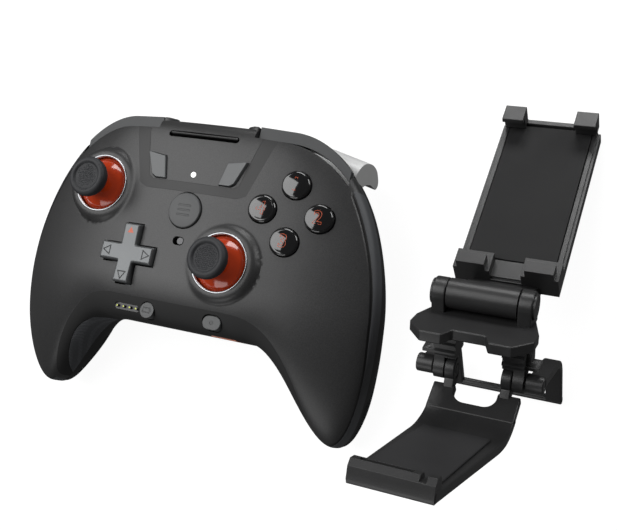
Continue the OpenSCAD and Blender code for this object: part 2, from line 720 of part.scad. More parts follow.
// axis of the can over the rear shell under it
motor_lift = 9.333;
motor_z = rear_z(motor_x(1), motor_y) + motor_lift;
module motor(side) {
  color("#a3a6aa")
  translate([motor_x(side), motor_y, motor_z])
  difference() {
    rotate([90, 0, 0]) union() {
      translate([0, 0, -8]) cylinder(d = motor_d, h = 14);
      translate([0, 0, 6]) cylinder(d = 5, h = 1);
    }
    rotate([90, 0, 0]) translate([0, 0, 0]) cylinder(r = 0.8 + run_fit, h = 10);
  }
}
module motor_l() { motor(-1); }
module motor_r() { motor(1); }
module weight(side) {
  color("#76787c")
  translate([motor_x(side), motor_y, motor_z])
  rotate([90, 0, 0])
  union() {
    translate([0, 0, 0.3]) cylinder(r = 0.8, h = 12);
    translate([0, 0, 7.6]) intersection() {
      cylinder(d = 11, h = 4.6);
      translate([-8, -8, -1]) cube([16, 9, 8]);
    }
    translate([0, 0, 7.6]) cylinder(d = 4, h = 4.6);
  }
}
module weight_l() { weight(-1); }
module weight_r() { weight(1); }

module screws() {
  color("#9a9da1")
  for (p = screw_places) translate([p[0], p[1], rear_z(p[0], p[1]) + 6])
    union() {
      translate([0, 0, -1.6]) cylinder(d = 5, h = 1.6);
      translate([0, 0, -1]) cylinder(d = screw_d, h = seam(p[1]) - rear_z(p[0], p[1]) - 6 + 8);
    }
}

// frame of the clip: local Y is back and local Z is up
module clip_frame() {
  translate([clip_x, barrel_y, barrel_z]) rotate([-clip_lean, 0, 0]) children();
}
// a profile in forward and up, drawn out along X
module clip_side(x0, x1) {
  translate([x0, 0, 0]) rotate([90, 0, 90]) mirror([1, 0, 0]) linear_extrude(x1 - x0) children();
}
module clip_rod(f, u, d, x0, x1) {
  translate([x0, -f, u]) rotate([0, 90, 0]) cylinder(d = d, h = x1 - x0);
}
// frame of the tray: local Y runs up the tray and local Z out of its pad
module tray_frame() {
  translate([clip_x, barrel_y, barrel_z]) rotate([-tray_slope, 0, 0]) translate([0, tray_c, tray_n]) children();
}

barrel_half = 16.4;
knuckle_in = arm_half + side_gap;

module clip_jaw() {
  color("#1c1d1f")
  clip_frame()
  difference() {
    union() {
      rotate([-plate_tilt, 0, 0]) translate([0, 0, -9.4]) linear_extrude(3.6)
        polygon([[-14.6, 7], [14.6, 7], [16.4, 4], [20, -8], [20, -14.5], [14.6, -21.5], [7.4, -21.5],
          [5.4, -16.5], [-5.4, -16.5], [-7.4, -21.5], [-14.6, -21.5], [-20, -14.5], [-20, -8], [-16.4, 4]]);
      for (s = [-1, 1]) {
        clip_rod(0, 0, barrel_d, s > 0 ? knuckle_in : -barrel_half, s > 0 ? barrel_half : -knuckle_in);
        translate([s > 0 ? knuckle_in : -barrel_half, -5, -8]) cube([barrel_half - knuckle_in, 10, 8]);
      }
    }
    clip_rod(0, 0, barrel_d + 2 * side_gap, -knuckle_in, knuckle_in);
    clip_rod(0, 0, 4, -30, 30);
    translate([-knuckle_in - 0.2, 3.4, -14]) cube([2 * knuckle_in + 0.4, 6, 14]);
  }
}

module clip_post(side) {
  a = side > 0 ? lug_mid + 0.15 : -post_out;
  b = side > 0 ? post_out : -lug_mid - 0.15;
  color("#1a1b1d")
  clip_frame()
  difference() {
    union() {
      clip_side(side > 0 ? post_in : -post_out, side > 0 ? post_out : -post_in)
        polygon([[-3.4, -10.35], [5.6, -8.45], [5.6, -13], [6.6, -13.4], [6.6, -14.2], [5.6, -14.6], [5.6, -16],
          [6.6, -16.4], [6.6, -17.2], [5.6, -17.6], [5.6, -19], [6.6, -19.4], [6.6, -20.2], [5.6, -20.6],
          [5.6, -22.2], [-3.4, -22.2]]);
      clip_side(a, b) polygon([[-3.4, -21.8], [5.6, -21.8], [pin_f + 3.4, pin_u], [pin_f - 3.4, pin_u]]);
      clip_rod(pin_f, pin_u, 2 * knuckle_r, a, b);
      clip_side(side > 0 ? post_out : -post_out - 4.6, side > 0 ? post_out + 4.6 : -post_out)
        polygon([[-1, -20.6], [4.6, -20.6], [4.6, -21.8], [-1, -21.8]]);
      clip_side(side > 0 ? post_out : -post_out - 1.6, side > 0 ? post_out + 1.6 : -post_out)
        polygon([[-2, -13], [2, -13], [4, -21], [-2, -21]]);
    }
    clip_rod(pin_f, pin_u, clip_pin_d, -40, 40);
  }
}
module clip_post_l() { clip_post(-1); }
module clip_post_r() { clip_post(1); }

module clip_pins() {
  color("#202123")
  clip_frame() for (s = [-1, 1])
    clip_rod(pin_f, pin_u, clip_pin_d, s > 0 ? post_in : -21.4, s > 0 ? 21.4 : -post_in);
}
module clip_axle() {
  color("#8d9094")
  clip_frame() clip_rod(0, 0, 4, -barrel_half + 1.2, barrel_half - 1.2);
}
module clip_end_caps() {
  color("#2a2b2e")
  clip_frame() for (s = [-1, 1]) {
    clip_rod(0, 0, 3.98, s > 0 ? barrel_half - 1.2 : -barrel_half, s > 0 ? barrel_half : -barrel_half + 1.2);
    clip_rod(0, 0, barrel_d - 1.6, s > 0 ? barrel_half : -barrel_half - 0.7, s > 0 ? barrel_half + 0.7 : -barrel_half);
  }
}

// middle of the barrel with the arm that carries the tray
module clip_arm() {
  color("#1d1e20")
  difference() {
    union() {
      translate([clip_x - arm_half, barrel_y, barrel_z]) rotate([0, 90, 0]) cylinder(d = barrel_d, h = 2 * arm_half);
      tray_frame() translate([-arm_half + 0.1, 0, 0]) rotate([90, 0, 90]) linear_extrude(2 * arm_half - 0.2)
        polygon([[-tray_c - 1, -tray_n - 4.4], [-tray_c + 4.6, -tray_n - 1], [-8.45, -2], [-8.45, -tray_t - 0.05],
          [16, -tray_t - 0.05], [16, -tray_t - 3], [-8, -tray_t - 3], [-14, -7]]);
    }
    translate([clip_x - 30, barrel_y, barrel_z]) rotate([0, 90, 0]) cylinder(d = 4 + 2 * run_fit, h = 60);
  }
}

module clip_tray() {
  color("#191a1c")
  tray_frame()
  difference() {
    union() {
      translate([-tray_w / 2, -8.4, -tray_t]) cube([tray_w, tray_len - 1.8, tray_t - 1.2]);
      translate([-tray_w / 2 + 1, -7.4, -tray_t]) cube([tray_w - 2, tray_len - 2.8, tray_t - 0.4]);
      for (s = [-1, 1]) translate([s * (tray_w / 2 - 6.5) - 6.5, -8.4, -1.3]) {
        translate([0, 0, 0]) cube([13, 8, 5]);
        translate([1.5, 0, 5]) cube([10, 4.5, 3.6]);
      }
    }
    translate([-11.4, 10, -tray_t + 1.2]) cube([22.8, tray_len, 2.2]);
    translate([-pad_half - 0.2, -0.2, -1.6]) cube([2 * pad_half + 0.4, tray_len - 10.2, 5]);
  }
}
module clip_pad() {
  color("#242527")
  tray_frame() translate([-pad_half, 0, -1.6]) cube([2 * pad_half, tray_len - 10.6, 1.6]);
}
// sliding upper end with two hooked prongs
module clip_carriage() {
  color("#1b1c1e")
  tray_frame()
  union() {
    translate([-11, 16, -tray_t + 1.5]) cube([22, tray_end - 16.5, 1.6]);
    translate([-tray_w / 2 + 1.6, tray_end - 2.1, -tray_t]) cube([tray_w - 3.2, 2.1, tray_t + 0.8]);
    for (s = [-1, 1]) translate([s * (tray_w / 2 - 5) - 4, tray_end - 4.6, 0.3]) {
      cube([8, 4.6, 7.4]);
      translate([0, -2.6, 5.4]) cube([8, 3, 2]);
    }
  }
}

// stand loop: strap arms from the pins over an apex to a cross bar on the floor
bail_a = [11, -29];
strap_w = 6;
strap_t = 3;
function unit2(v) = v / norm(v);
module strap(p, q, x0, x1, t) {
  d = unit2(q - p);
  nrm = [-d[1], d[0]] * t / 2;
  translate([x0, 0, 0]) rotate([90, 0, 90]) linear_extrude(x1 - x0)
    polygon([p + nrm, q + nrm, q - nrm, p - nrm]);
}
function pin_world() = [
  barrel_y - pin_f * cos(clip_lean) + pin_u * sin(clip_lean),
  barrel_z + pin_f * sin(clip_lean) + pin_u * cos(clip_lean)];
module clip_bail() {
  p = pin_world();
  bail_c = [-2, strap_t / 2 - p[1]];
  color("#1b1c1e")
  translate([clip_x, p[0], p[1]])
  difference() {
    union() {
      for (s = [-1, 1]) {
        x0 = s > 0 ? post_out + 0.4 : -post_out - 0.4 - strap_w;
        x1 = x0 + strap_w;
        translate([x0, 0, 0]) rotate([0, 90, 0]) cylinder(r = 3.2, h = strap_w);
        strap([0, 0], bail_a, x0 + 0.1, x1 - 0.1, strap_t);
        strap(bail_a, bail_c, x0 + 0.1, x1 - 0.1, strap_t);
        translate([x0, bail_a[0], bail_a[1]]) rotate([0, 90, 0]) cylinder(d = strap_t, h = strap_w);
      }
      translate([-post_out - 0.4 - strap_w, bail_c[0], bail_c[1]]) rotate([0, 90, 0])
        cylinder(d = strap_t, h = 2 * (post_out + 0.4 + strap_w));
    }
    translate([-40, 0, 0]) rotate([0, 90, 0]) cylinder(r = clip_pin_d / 2 + run_fit, h = 80);
  }
}

// lower claw: knuckles, rear wall, floor plate and lip, in forward and up from the barrel
claw_heel = [24.3, -39];
claw_lip = [88, -6.5];
claw_t = 3.2;
claw_wall = 30.2;
module clip_claw() {
  w = unit2(claw_lip - claw_heel);
  n = [-w[1], w[0]];
  color("#1b1c1e")
  clip_frame()
  difference() {
    union() {
      for (s = [-1, 1]) {
        x0 = s > 0 ? post_in : -lug_mid + 0.15;
        x1 = s > 0 ? lug_mid - 0.15 : -post_in;
        clip_rod(pin_f, pin_u, 2 * knuckle_r, x0, x1);
        clip_side(x0, x1) polygon([[pin_f - 3, pin_u - 1], [pin_f + 3.4, pin_u - 1], [pin_f + 6, pin_u - 6], [pin_f - 1, pin_u - 6]]);
      }
      intersection() {
        translate([0, 0, -60]) linear_extrude(80) polygon([[-14.8, 10], [-14.8, -24], [-11.6, -100],
          [11.6, -100], [14.8, -24], [14.8, 10]]);
        clip_side(-14.8, 14.8)
          polygon([[pin_f - 0.6, pin_u - 5.6], [pin_f + 4, pin_u - 4.6], [claw_heel[0] - 2, claw_heel[1] + 2],
            claw_heel + n * claw_t + w * 3, claw_lip + n * claw_t, claw_lip, claw_heel + w * 2,
            [claw_heel[0] - 4, claw_heel[1] - 1]]);
      }
      clip_side(-12, 12)
        polygon([claw_lip - w * 5, claw_lip - w * 5 + n * 5, claw_lip - w * 3.6 + n * 6.8, claw_lip - w * 0.6 + n * 6.8,
          claw_lip + w * 0.8 + n * 5, claw_lip + w * 0.8 + n * 1.4, claw_lip]);
    }
    clip_rod(pin_f, pin_u, clip_pin_d + 2 * run_fit, -40, 40);
    clip_rod(pin_f, pin_u, 2 * knuckle_r + 2 * side_gap, lug_mid - 0.15, post_out + 0.6);
    clip_rod(pin_f, pin_u, 2 * knuckle_r + 2 * side_gap, -post_out - 0.6, -lug_mid + 0.15);
    translate([0, -pin_f, pin_u]) rotate([180 + claw_wall, 0, 0]) translate([0, 2.6, -7])
      rounded_block(2 * post_in - 1.2, 17.2, 14, 4);
  }
}
module clip_claw_pad() {
  w = unit2(claw_lip - claw_heel);
  n = [-w[1], w[0]];
  a = claw_heel + n * claw_t + w * 8;
  b = claw_lip + n * claw_t - w * 8;
  color("#232426")
  clip_frame()
  clip_side(-11, 11) polygon([a, b, b + n * 0.8, a + n * 0.8]);
}

front_shell();
rear_shell();
grip_l();
grip_r();
rear_housing();
battery();
lower_board();
upper_board();
action_membrane();
dpad_membrane();
bumper_l();
bumper_r();
bumper_frame();
trigger_l();
trigger_r();
trigger_brackets();
trigger_pins();
stick_ring_l();
stick_ring_r();
stick_module_l();
stick_module_r();
stick_yoke_l();
stick_yoke_r();
stick_dome_l();
stick_dome_r();
stick_cap_l();
stick_cap_r();
dpad();
dpad_rocker();
button_north();
button_east();
button_south();
button_west();
menu_button();
select_button();
start_button();
battery_button();
program_button();
mode_switch();
led_lenses();
status_led();
charge_port();
motor_l();
motor_r();
weight_l();
weight_r();
screws();
clip_jaw();
clip_post_l();
clip_post_r();
clip_pins();
clip_axle();
clip_end_caps();
clip_arm();
clip_tray();
clip_pad();
clip_carriage();
clip_bail();
clip_claw();
clip_claw_pad();
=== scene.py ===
"""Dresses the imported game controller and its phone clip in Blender."""
import json
import math

import bmesh
import bpy
from bpy.props import FloatProperty, FloatVectorProperty, PointerProperty
from mathutils import Matrix, Vector


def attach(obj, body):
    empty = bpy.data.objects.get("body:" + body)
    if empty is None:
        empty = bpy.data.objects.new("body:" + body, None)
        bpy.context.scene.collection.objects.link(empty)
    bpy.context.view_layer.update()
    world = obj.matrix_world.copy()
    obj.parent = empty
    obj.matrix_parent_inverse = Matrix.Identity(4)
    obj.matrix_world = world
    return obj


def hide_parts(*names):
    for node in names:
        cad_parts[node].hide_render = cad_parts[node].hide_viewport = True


bl_info = {
    "name": "Mobile game controller",
    "version": (1, 0, 0),
    "blender": (4, 5, 0),
    "location": "View3D > Sidebar > Controller",
    "description": "Builds the shells, controls and phone clip over the packed frame",
    "category": "Object",
}

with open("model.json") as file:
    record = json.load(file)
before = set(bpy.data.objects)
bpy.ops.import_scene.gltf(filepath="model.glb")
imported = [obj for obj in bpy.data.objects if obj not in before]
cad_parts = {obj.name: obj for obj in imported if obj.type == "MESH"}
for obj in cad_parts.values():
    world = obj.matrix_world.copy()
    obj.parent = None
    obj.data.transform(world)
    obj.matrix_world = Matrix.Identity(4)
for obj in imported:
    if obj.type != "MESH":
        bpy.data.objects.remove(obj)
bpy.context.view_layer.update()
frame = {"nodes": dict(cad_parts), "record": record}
NODES = frame["nodes"]
BODY_OF = {n: b for b, ns in frame["record"]["behaviour"]["bodies"].items() for n in ns}
MM = 0.001

# Body sizes in millimetres, the same as in the part's source
FACE_H, CROWN, KEY_RISE = 50.0, 0.002, 1.9
HALF_W, TOP_HALF, CHIN_HALF, TIP_X = 79.0, 36.0, 32.0, 66.5
TOP_Y, WIDE_Y, CHIN_Y, TIP_Y = 43.5, -25.0, -38.0, -70.0
SIDE_REACH, EDGE_REACH = 0.999, 0.9999
SEAM_DROP, SEAM_TILT, SEAM_MID_Y = 19, 0.14, 12
SEAM_FALL, SEAM_FALL_Y, SEAM_FALL_SPAN, SEAM_POWER = 8, -24, 46, 1.5
WALL = 2.2
STICKS = {"l": (-41.7, 13.3, 49.2), "r": (19.7, -11.0, 50.5)}
PIVOT_DROP = 11.6
RING_OUT = 11.5
COLLAR_IN, COLLAR_FLAT, COLLAR_OUT, COLLAR_ROUND = 9, 12.3, 15.7, 3.4
BALL_OUT, BALL_IN, SKIRT_ANGLE = 14.6, 13.3, 66
PAD_X, PAD_Y, PAD_STEP = 42.5, 12.1, 11.0
DPAD, DPAD_ARM, DPAD_REACH, DPAD_GAP = (-20.8, -13.2), 3.5, 11.8, 0.65
MENU_Y, MODE_Y, STATUS_Y, SLOT_Y = 6.9, -5.2, 21.3, 37.1
BATTERY_KEY, PROGRAM_KEY, LAMP_BAR = (-8.2, -33.6), (20.2, -33.5), (-18.4, -33.8)
BUMP_LO, BUMP_HI = 35.9, 45.4
BUMP_IN, BUMP_OUT, BUMP_FALL = 22.0, 60.0, 6.6
TRIGGER_TURN = math.radians(14)
HINGE = (46.0, 27.5, 27.0)
BARREL = (124.0, -9.2, 62.607)
CLIP_LEAN = math.radians(50)
KNUCKLE = (3.7, -27.2)
POST_IN, POST_OUT, LUG_MID = 7.8, 15.2, 11.35
PIN_BORE = 1.65
CLAW_HEEL, CLAW_LIP = (24.3, -39.0), (88.0, -6.5)
CLAW_T, CLAW_HALF, CLAW_TAPER = 3.2, 14.8, 3.2 / 76
STRAP_W, STRAP_T = 6.0, 3.0

# Camera and floor
CAMERA_PLACE = (0.1946, -0.0469, 0.3708)
CAMERA_RIGHT = (0.90648, 0.21071, -0.36591)
CAMERA_UP = (-0.14977, 0.97069, 0.18795)
CAMERA_BACK = (0.39479, -0.11557, 0.91147)
CAMERA_LENS = 56.66
FLOOR_REACH, FLOOR_Z = 4000, -0.4
FLOOR_GLOW, FLOOR_SHARE, FLOOR_SHEEN, FLOOR_DIM = 1.17, 0.8, 0.08, 0.08


# Body form

def ease(t):
    """Smooth step from 0 to 1."""
    u = max(0.0, min(1.0, t))
    return u * u * (3 - 2 * u)


def roll(t, power):
    """Height of a rolled edge: 1 in the middle, 0 at -1 and 1."""
    return max(0.0, 1 - abs(t) ** power) ** (1 / power)


def low_edge(ax, inset):
    """Lower outline of the body in plan, ax from the middle."""
    if ax <= CHIN_HALF:
        return CHIN_Y + inset
    if ax <= TIP_X:
        step = ((ax - CHIN_HALF) / (TIP_X - CHIN_HALF)) ** 1.15
        return CHIN_Y + inset - (CHIN_Y - TIP_Y) * ease(step)
    reach = (ax - TIP_X) / (HALF_W - inset - TIP_X)
    return WIDE_Y - (WIDE_Y - TIP_Y - inset) * math.sqrt(max(0.0, 1 - reach * reach))


def arc_edge(ax, top, half):
    """Upper outline of the body in plan, ax from the middle."""
    if ax <= TOP_HALF:
        return top
    reach = (ax - TOP_HALF) / (half - TOP_HALF)
    return WIDE_Y + (top - WIDE_Y) * math.sqrt(max(0.0, 1 - reach * reach))


def crown(x, y):
    """Height of the face before its edges roll off."""
    drop = 16 * ((-20 - y) / 50) ** 1.7 if y < -20 else 0
    return FACE_H - CROWN * x * x - drop


def seam(y):
    """Height of the line between the two shells."""
    past = max(0.0, SEAM_FALL_Y - y) / SEAM_FALL_SPAN
    return FACE_H - SEAM_DROP + SEAM_TILT * (y - SEAM_MID_Y) - SEAM_FALL * past ** SEAM_POWER


def back(x, y):
    """Height of the underside before its edges roll off."""
    return FACE_H - 36 - 14 * ease((abs(x) - 28) / 26) * ease((12 - y) / 48)


def roll_power(ax):
    """How square the rolled edge of the face is."""
    return 8 - 3.2 * ease((ax - 26) / 24)


def grid_place(u, v, inset):
    """Place in plan of grid step u across and v along, from 0 to 1, and its part of the half width."""
    part = math.sin(math.pi / 2 * (2 * u - 1))
    side = EDGE_REACH * abs(part) * (HALF_W - inset)
    low = low_edge(side, inset)
    high = arc_edge(side, TOP_Y - inset, HALF_W - inset)
    y = low + (high - low) * (1 - math.cos(math.pi * v)) / 2
    return SIDE_REACH * part * (HALF_W - inset), y, part


def soft_max(a, b, k):
    """Larger of two heights, with the step between them rounded."""
    h = max(0.0, 1 - abs(a - b) / k)
    return max(a, b) + k / 4 * h * h


def collar_height(x, y, z):
    """Height of the face with the flared stick collars grown into it."""
    for cx, cy, top in STICKS.values():
        r = math.hypot(x - cx, y - cy)
        if COLLAR_IN < r < COLLAR_OUT:
            shoulder = max(0.0, r - COLLAR_FLAT)
            fall = math.sqrt(max(0.0, COLLAR_ROUND ** 2 - shoulder * shoulder))
            z = soft_max(z, top - COLLAR_ROUND + fall, 0.7)
    return z


def front_point(u, v, inset):
    """Point of the front shell at a grid step."""
    x, y, part = grid_place(u, v, inset)
    s = seam(y)
    lift = roll(math.cos(math.pi * v), roll_power(abs(x))) * roll(part, 5)
    z = s + (crown(x, y) - inset - s) * lift
    return x, y, collar_height(x, y, z + inset) - inset


def rear_point(u, v, inset):
    """Point of the rear shell at a grid step."""
    x, y, part = grid_place(u, v, inset)
    s = seam(y)
    lift = roll(math.cos(math.pi * v), 3) * roll(part, 3.4)
    return x, y, s - (s - back(x, y) - inset) * lift


# Mesh tools

def new_object(name, data):
    """New object with its data, linked to the scene."""
    thing = bpy.data.objects.new(name, data)
    bpy.context.scene.collection.objects.link(thing)
    return thing


def add_mesh(name, points, faces, smooth=True):
    """New object from points in millimetres."""
    mesh = bpy.data.meshes.new(name)
    mesh.from_pydata([(x * MM, y * MM, z * MM) for x, y, z in points], [], faces)
    mesh.validate()
    mesh.update()
    if smooth:
        mesh.shade_smooth()
    return new_object(name, mesh)


def skin(point, across, along, u_range=(0.0, 1.0), v_range=(0.0, 1.0)):
    """Points and faces of one closed skin: point(u, v, side) with side 0 outside and 1 inside."""
    points = []
    for side in (0, 1):
        for i in range(across + 1):
            u = u_range[0] + (u_range[1] - u_range[0]) * i / across
            for j in range(along + 1):
                v = v_range[0] + (v_range[1] - v_range[0]) * j / along
                points.append(point(u, v, side))
    row = along + 1
    base = (across + 1) * row
    faces = []
    for i in range(across):
        for j in range(along):
            a = i * row + j
            faces.append((a, a + row, a + row + 1, a + 1))
            faces.append((base + a, base + a + 1, base + a + row + 1, base + a + row))
    for a in range(0, across * row, row):
        faces.append((a, base + a, base + a + row, a + row))
        b = a + along
        faces.append((b, b + row, base + b + row, base + b))
    for a in range(along):
        faces.append((a, a + 1, base + a + 1, base + a))
        b = across * row + a
        faces.append((b, base + b, base + b + 1, b + 1))
    return points, faces


def circle(x, y, r, sides):
    """Points of a circle."""
    turns = [2 * math.pi * k / sides for k in range(sides)]
    return [(x + r * math.cos(a), y + r * math.sin(a)) for a in turns]


def quarter(x, y, r, turn, steps):
    """Points of a quarter circle that starts after a number of quarter turns."""
    turns = [math.pi / 2 * (turn + k / steps) for k in range(steps + 1)]
    return [(x + r * math.cos(a), y + r * math.sin(a)) for a in turns]


def revolve(profile, place, turns=96):
    """Points and faces of a profile of (radius, height) pairs turned about a vertical line at place."""
    points = []
    faces = []
    rings = []
    for r, z in profile:
        around = circle(*place[:2], r, turns) if r > 1e-6 else [place[:2]]
        rings.append([len(points) + k for k in range(len(around))])
        points += [(x, y, place[2] + z) for x, y in around]
    for lower, upper in zip(rings, rings[1:]):
        for k in range(turns):
            low = [lower[j % len(lower)] for j in (k, (k + 1) % turns)]
            high = [upper[j % len(upper)] for j in ((k + 1) % turns, k)]
            faces.append(tuple(dict.fromkeys(low + high)))
    return points, faces


def curve_through(points, steps):
    """Smooth line through the points, which are kept."""
    out = []
    last = len(points) - 1
    for i in range(last):
        p0 = points[max(0, i - 1)]
        p1 = points[i]
        p2 = points[i + 1]
        p3 = points[min(last, i + 2)]
        for k in range(steps):
            t = k / steps
            out.append(tuple(
                0.5 * (2 * b + (c - a) * t + (2 * a - 5 * b + 4 * c - d) * t * t
                       + (3 * b - a - 3 * c + d) * t ** 3)
                for a, b, c, d in zip(p0, p1, p2, p3)))
    out.append(tuple(points[-1]))
    return out


def prism(outline, z0, z1):
    """Points and faces of an outline in plan drawn from z0 to z1."""
    n = len(outline)
    points = [(x, y, z0) for x, y in outline] + [(x, y, z1) for x, y in outline]
    faces = [tuple(range(n - 1, -1, -1)), tuple(range(n, 2 * n))]
    faces += [(k, (k + 1) % n, n + (k + 1) % n, n + k) for k in range(n)]
    return points, faces


def settle(piece):
    """Applies the piece's modifiers to its mesh."""
    graph = bpy.context.evaluated_depsgraph_get()
    mesh = bpy.data.meshes.new_from_object(piece.evaluated_get(graph))
    old = piece.data
    piece.modifiers.clear()
    piece.data = mesh
    bpy.data.meshes.remove(old)
    return piece


def crease(piece, degrees):
    """Smooth shading with the edges above an angle kept sharp."""
    piece.data.shade_smooth()
    piece.data.set_sharp_from_angle(angle=math.radians(degrees))
    return piece


def round_edges(piece, width, segments=3, angle=32):
    """Rounds the sharp edges of a piece by width in millimetres."""
    bevel = piece.modifiers.new("round", "BEVEL")
    bevel.width = width * MM
    bevel.segments = segments
    bevel.limit_method = "ANGLE"
    bevel.angle_limit = math.radians(angle)
    bevel.miter_outer = "MITER_ARC"
    crease(settle(piece), 46)
    even = piece.modifiers.new("even", "WEIGHTED_NORMAL")
    even.keep_sharp = True
    return settle(piece)


def cut(piece, *tools):
    """Cuts the tools out of the piece and deletes them."""
    for tool in tools:
        step = piece.modifiers.new("cut", "BOOLEAN")
        step.operation = "DIFFERENCE"
        step.solver = "EXACT"
        step.object = tool
    settle(piece)
    for tool in tools:
        bpy.data.objects.remove(tool)
    return piece


def copy_of(node, width, segments=3):
    """Copy of a CAD solid with its flat faces made whole and its edges rounded."""
    mesh = NODES[node].data.copy()
    mesh.materials.clear()
    grid = bmesh.new()
    grid.from_mesh(mesh)
    bmesh.ops.remove_doubles(grid, verts=grid.verts, dist=2e-6)
    bmesh.ops.dissolve_limit(grid, angle_limit=math.radians(0.6), verts=grid.verts, edges=grid.edges)
    grid.to_mesh(mesh)
    grid.free()
    piece = new_object(node + "_piece", mesh)
    if width > 0:
        return round_edges(piece, width, segments)
    return crease(piece, 32)


def leaned(x, f, u):
    """Place of a point given across, forward and up from the clip's barrel."""
    c, s = math.cos(CLIP_LEAN), math.sin(CLIP_LEAN)
    return BARREL[0] + x, BARREL[1] - f * c + u * s, BARREL[2] + f * s + u * c


def bar(outline, x0, x1):
    """Points and faces of an outline in forward and up, drawn out across from x0 to x1."""
    points, faces = prism(outline, x0, x1)
    return [(c, a, b) for a, b, c in points], faces


def rod(f, u, r, x0, x1, sides=56):
    """Points and faces of a round rod that lies across from x0 to x1."""
    return bar(circle(f, u, r, sides), x0, x1)


def sleeve(f, u, r, bore, x0, x1, sides=56):
    """Points and faces of a round sleeve that lies across from x0 to x1."""
    points = []
    for x, radius in ((x0, r), (x1, r), (x1, bore), (x0, bore)):
        points += [(x, *p) for p in circle(f, u, radius, sides)]
    faces = []
    for ring in range(4):
        here, there = ring * sides, (ring + 1) % 4 * sides
        for k in range(sides):
            n = (k + 1) % sides
            faces.append((here + k, here + n, there + n, there + k))
    return points, faces


def bend(a, corner, b, before, after, steps=14):
    """Line from a to b by way of a corner that is rounded off over the two lengths."""
    a, corner, b = Vector(a), Vector(corner), Vector(b)
    p = corner + (a - corner).normalized() * before
    q = corner + (b - corner).normalized() * after
    turn = [p.lerp(corner, t / steps).lerp(corner.lerp(q, t / steps), t / steps) for t in range(steps + 1)]
    return [a] + turn + [b]


def beside(line, gap):
    """The same line, moved sideways by a gap."""
    out = []
    for k, p in enumerate(line):
        d = (line[min(k + 1, len(line) - 1)] - line[max(k - 1, 0)]).normalized()
        out.append(p + Vector((d.y, -d.x)) * gap)
    return out


def joined(name, islands, place):
    """One mesh of several closed solids, each with its points put in place and its faces turned outward."""
    points = []
    faces = []
    for more, rims in islands:
        base = len(points)
        points += [place(*p) for p in more]
        faces += [tuple(base + k for k in f) for f in rims]
    piece = add_mesh(name, points, faces)
    grid = bmesh.new()
    grid.from_mesh(piece.data)
    bmesh.ops.recalc_face_normals(grid, faces=grid.faces)
    grid.to_mesh(piece.data)
    grid.free()
    return piece


def dress(piece, material):
    """Gives a piece its one material."""
    piece.data.materials.clear()
    piece.data.materials.append(material)


def stand_for(piece, material, node):
    """Gives the piece its material, and puts it in place of a CAD node."""
    dress(piece, material)
    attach(piece, BODY_OF[node])
    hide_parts(node)


def renew(node, material, width, segments=3):
    """Puts a copy with rounded edges in place of a CAD node."""
    stand_for(copy_of(node, width, segments), material, node)


def add_to(piece, material, node):
    """Gives a new piece its material and lets it ride with a node's body."""
    dress(piece, material)
    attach(piece, BODY_OF[node])


def finish_node(material, *nodes):
    """Gives CAD nodes that stay in view a material."""
    for node in nodes:
        dress(NODES[node], material)


# Shader tools

def maths(operation, swapped=False):
    """Method of a shader value that adds one maths node."""
    def method(self, other=None):
        first, second = (other, self) if swapped else (self, other)
        return self.paint.add("ShaderNodeMath", {"operation": operation}, {0: first, 1: second})[0]
    return method


class Socket:
    """A shader value that takes part in Python expressions."""

    def __init__(self, paint, link):
        self.paint = paint
        self.link = link

    __add__ = __radd__ = maths("ADD")
    __sub__ = maths("SUBTRACT")
    __rsub__ = maths("SUBTRACT", swapped=True)
    __mul__ = __rmul__ = maths("MULTIPLY")
    __pow__ = maths("POWER")
    __abs__ = maths("ABSOLUTE")
    least = maths("MINIMUM")
    most = maths("MAXIMUM")
    root = maths("SQRT")
    wave = maths("SINE")

    def step(self, low, high):
        """0 below low and 1 above high, eased between."""
        return self.paint.add("ShaderNodeMapRange", {"interpolation_type": "SMOOTHSTEP"},
                              {"Value": self, "From Min": low, "From Max": high})[0]


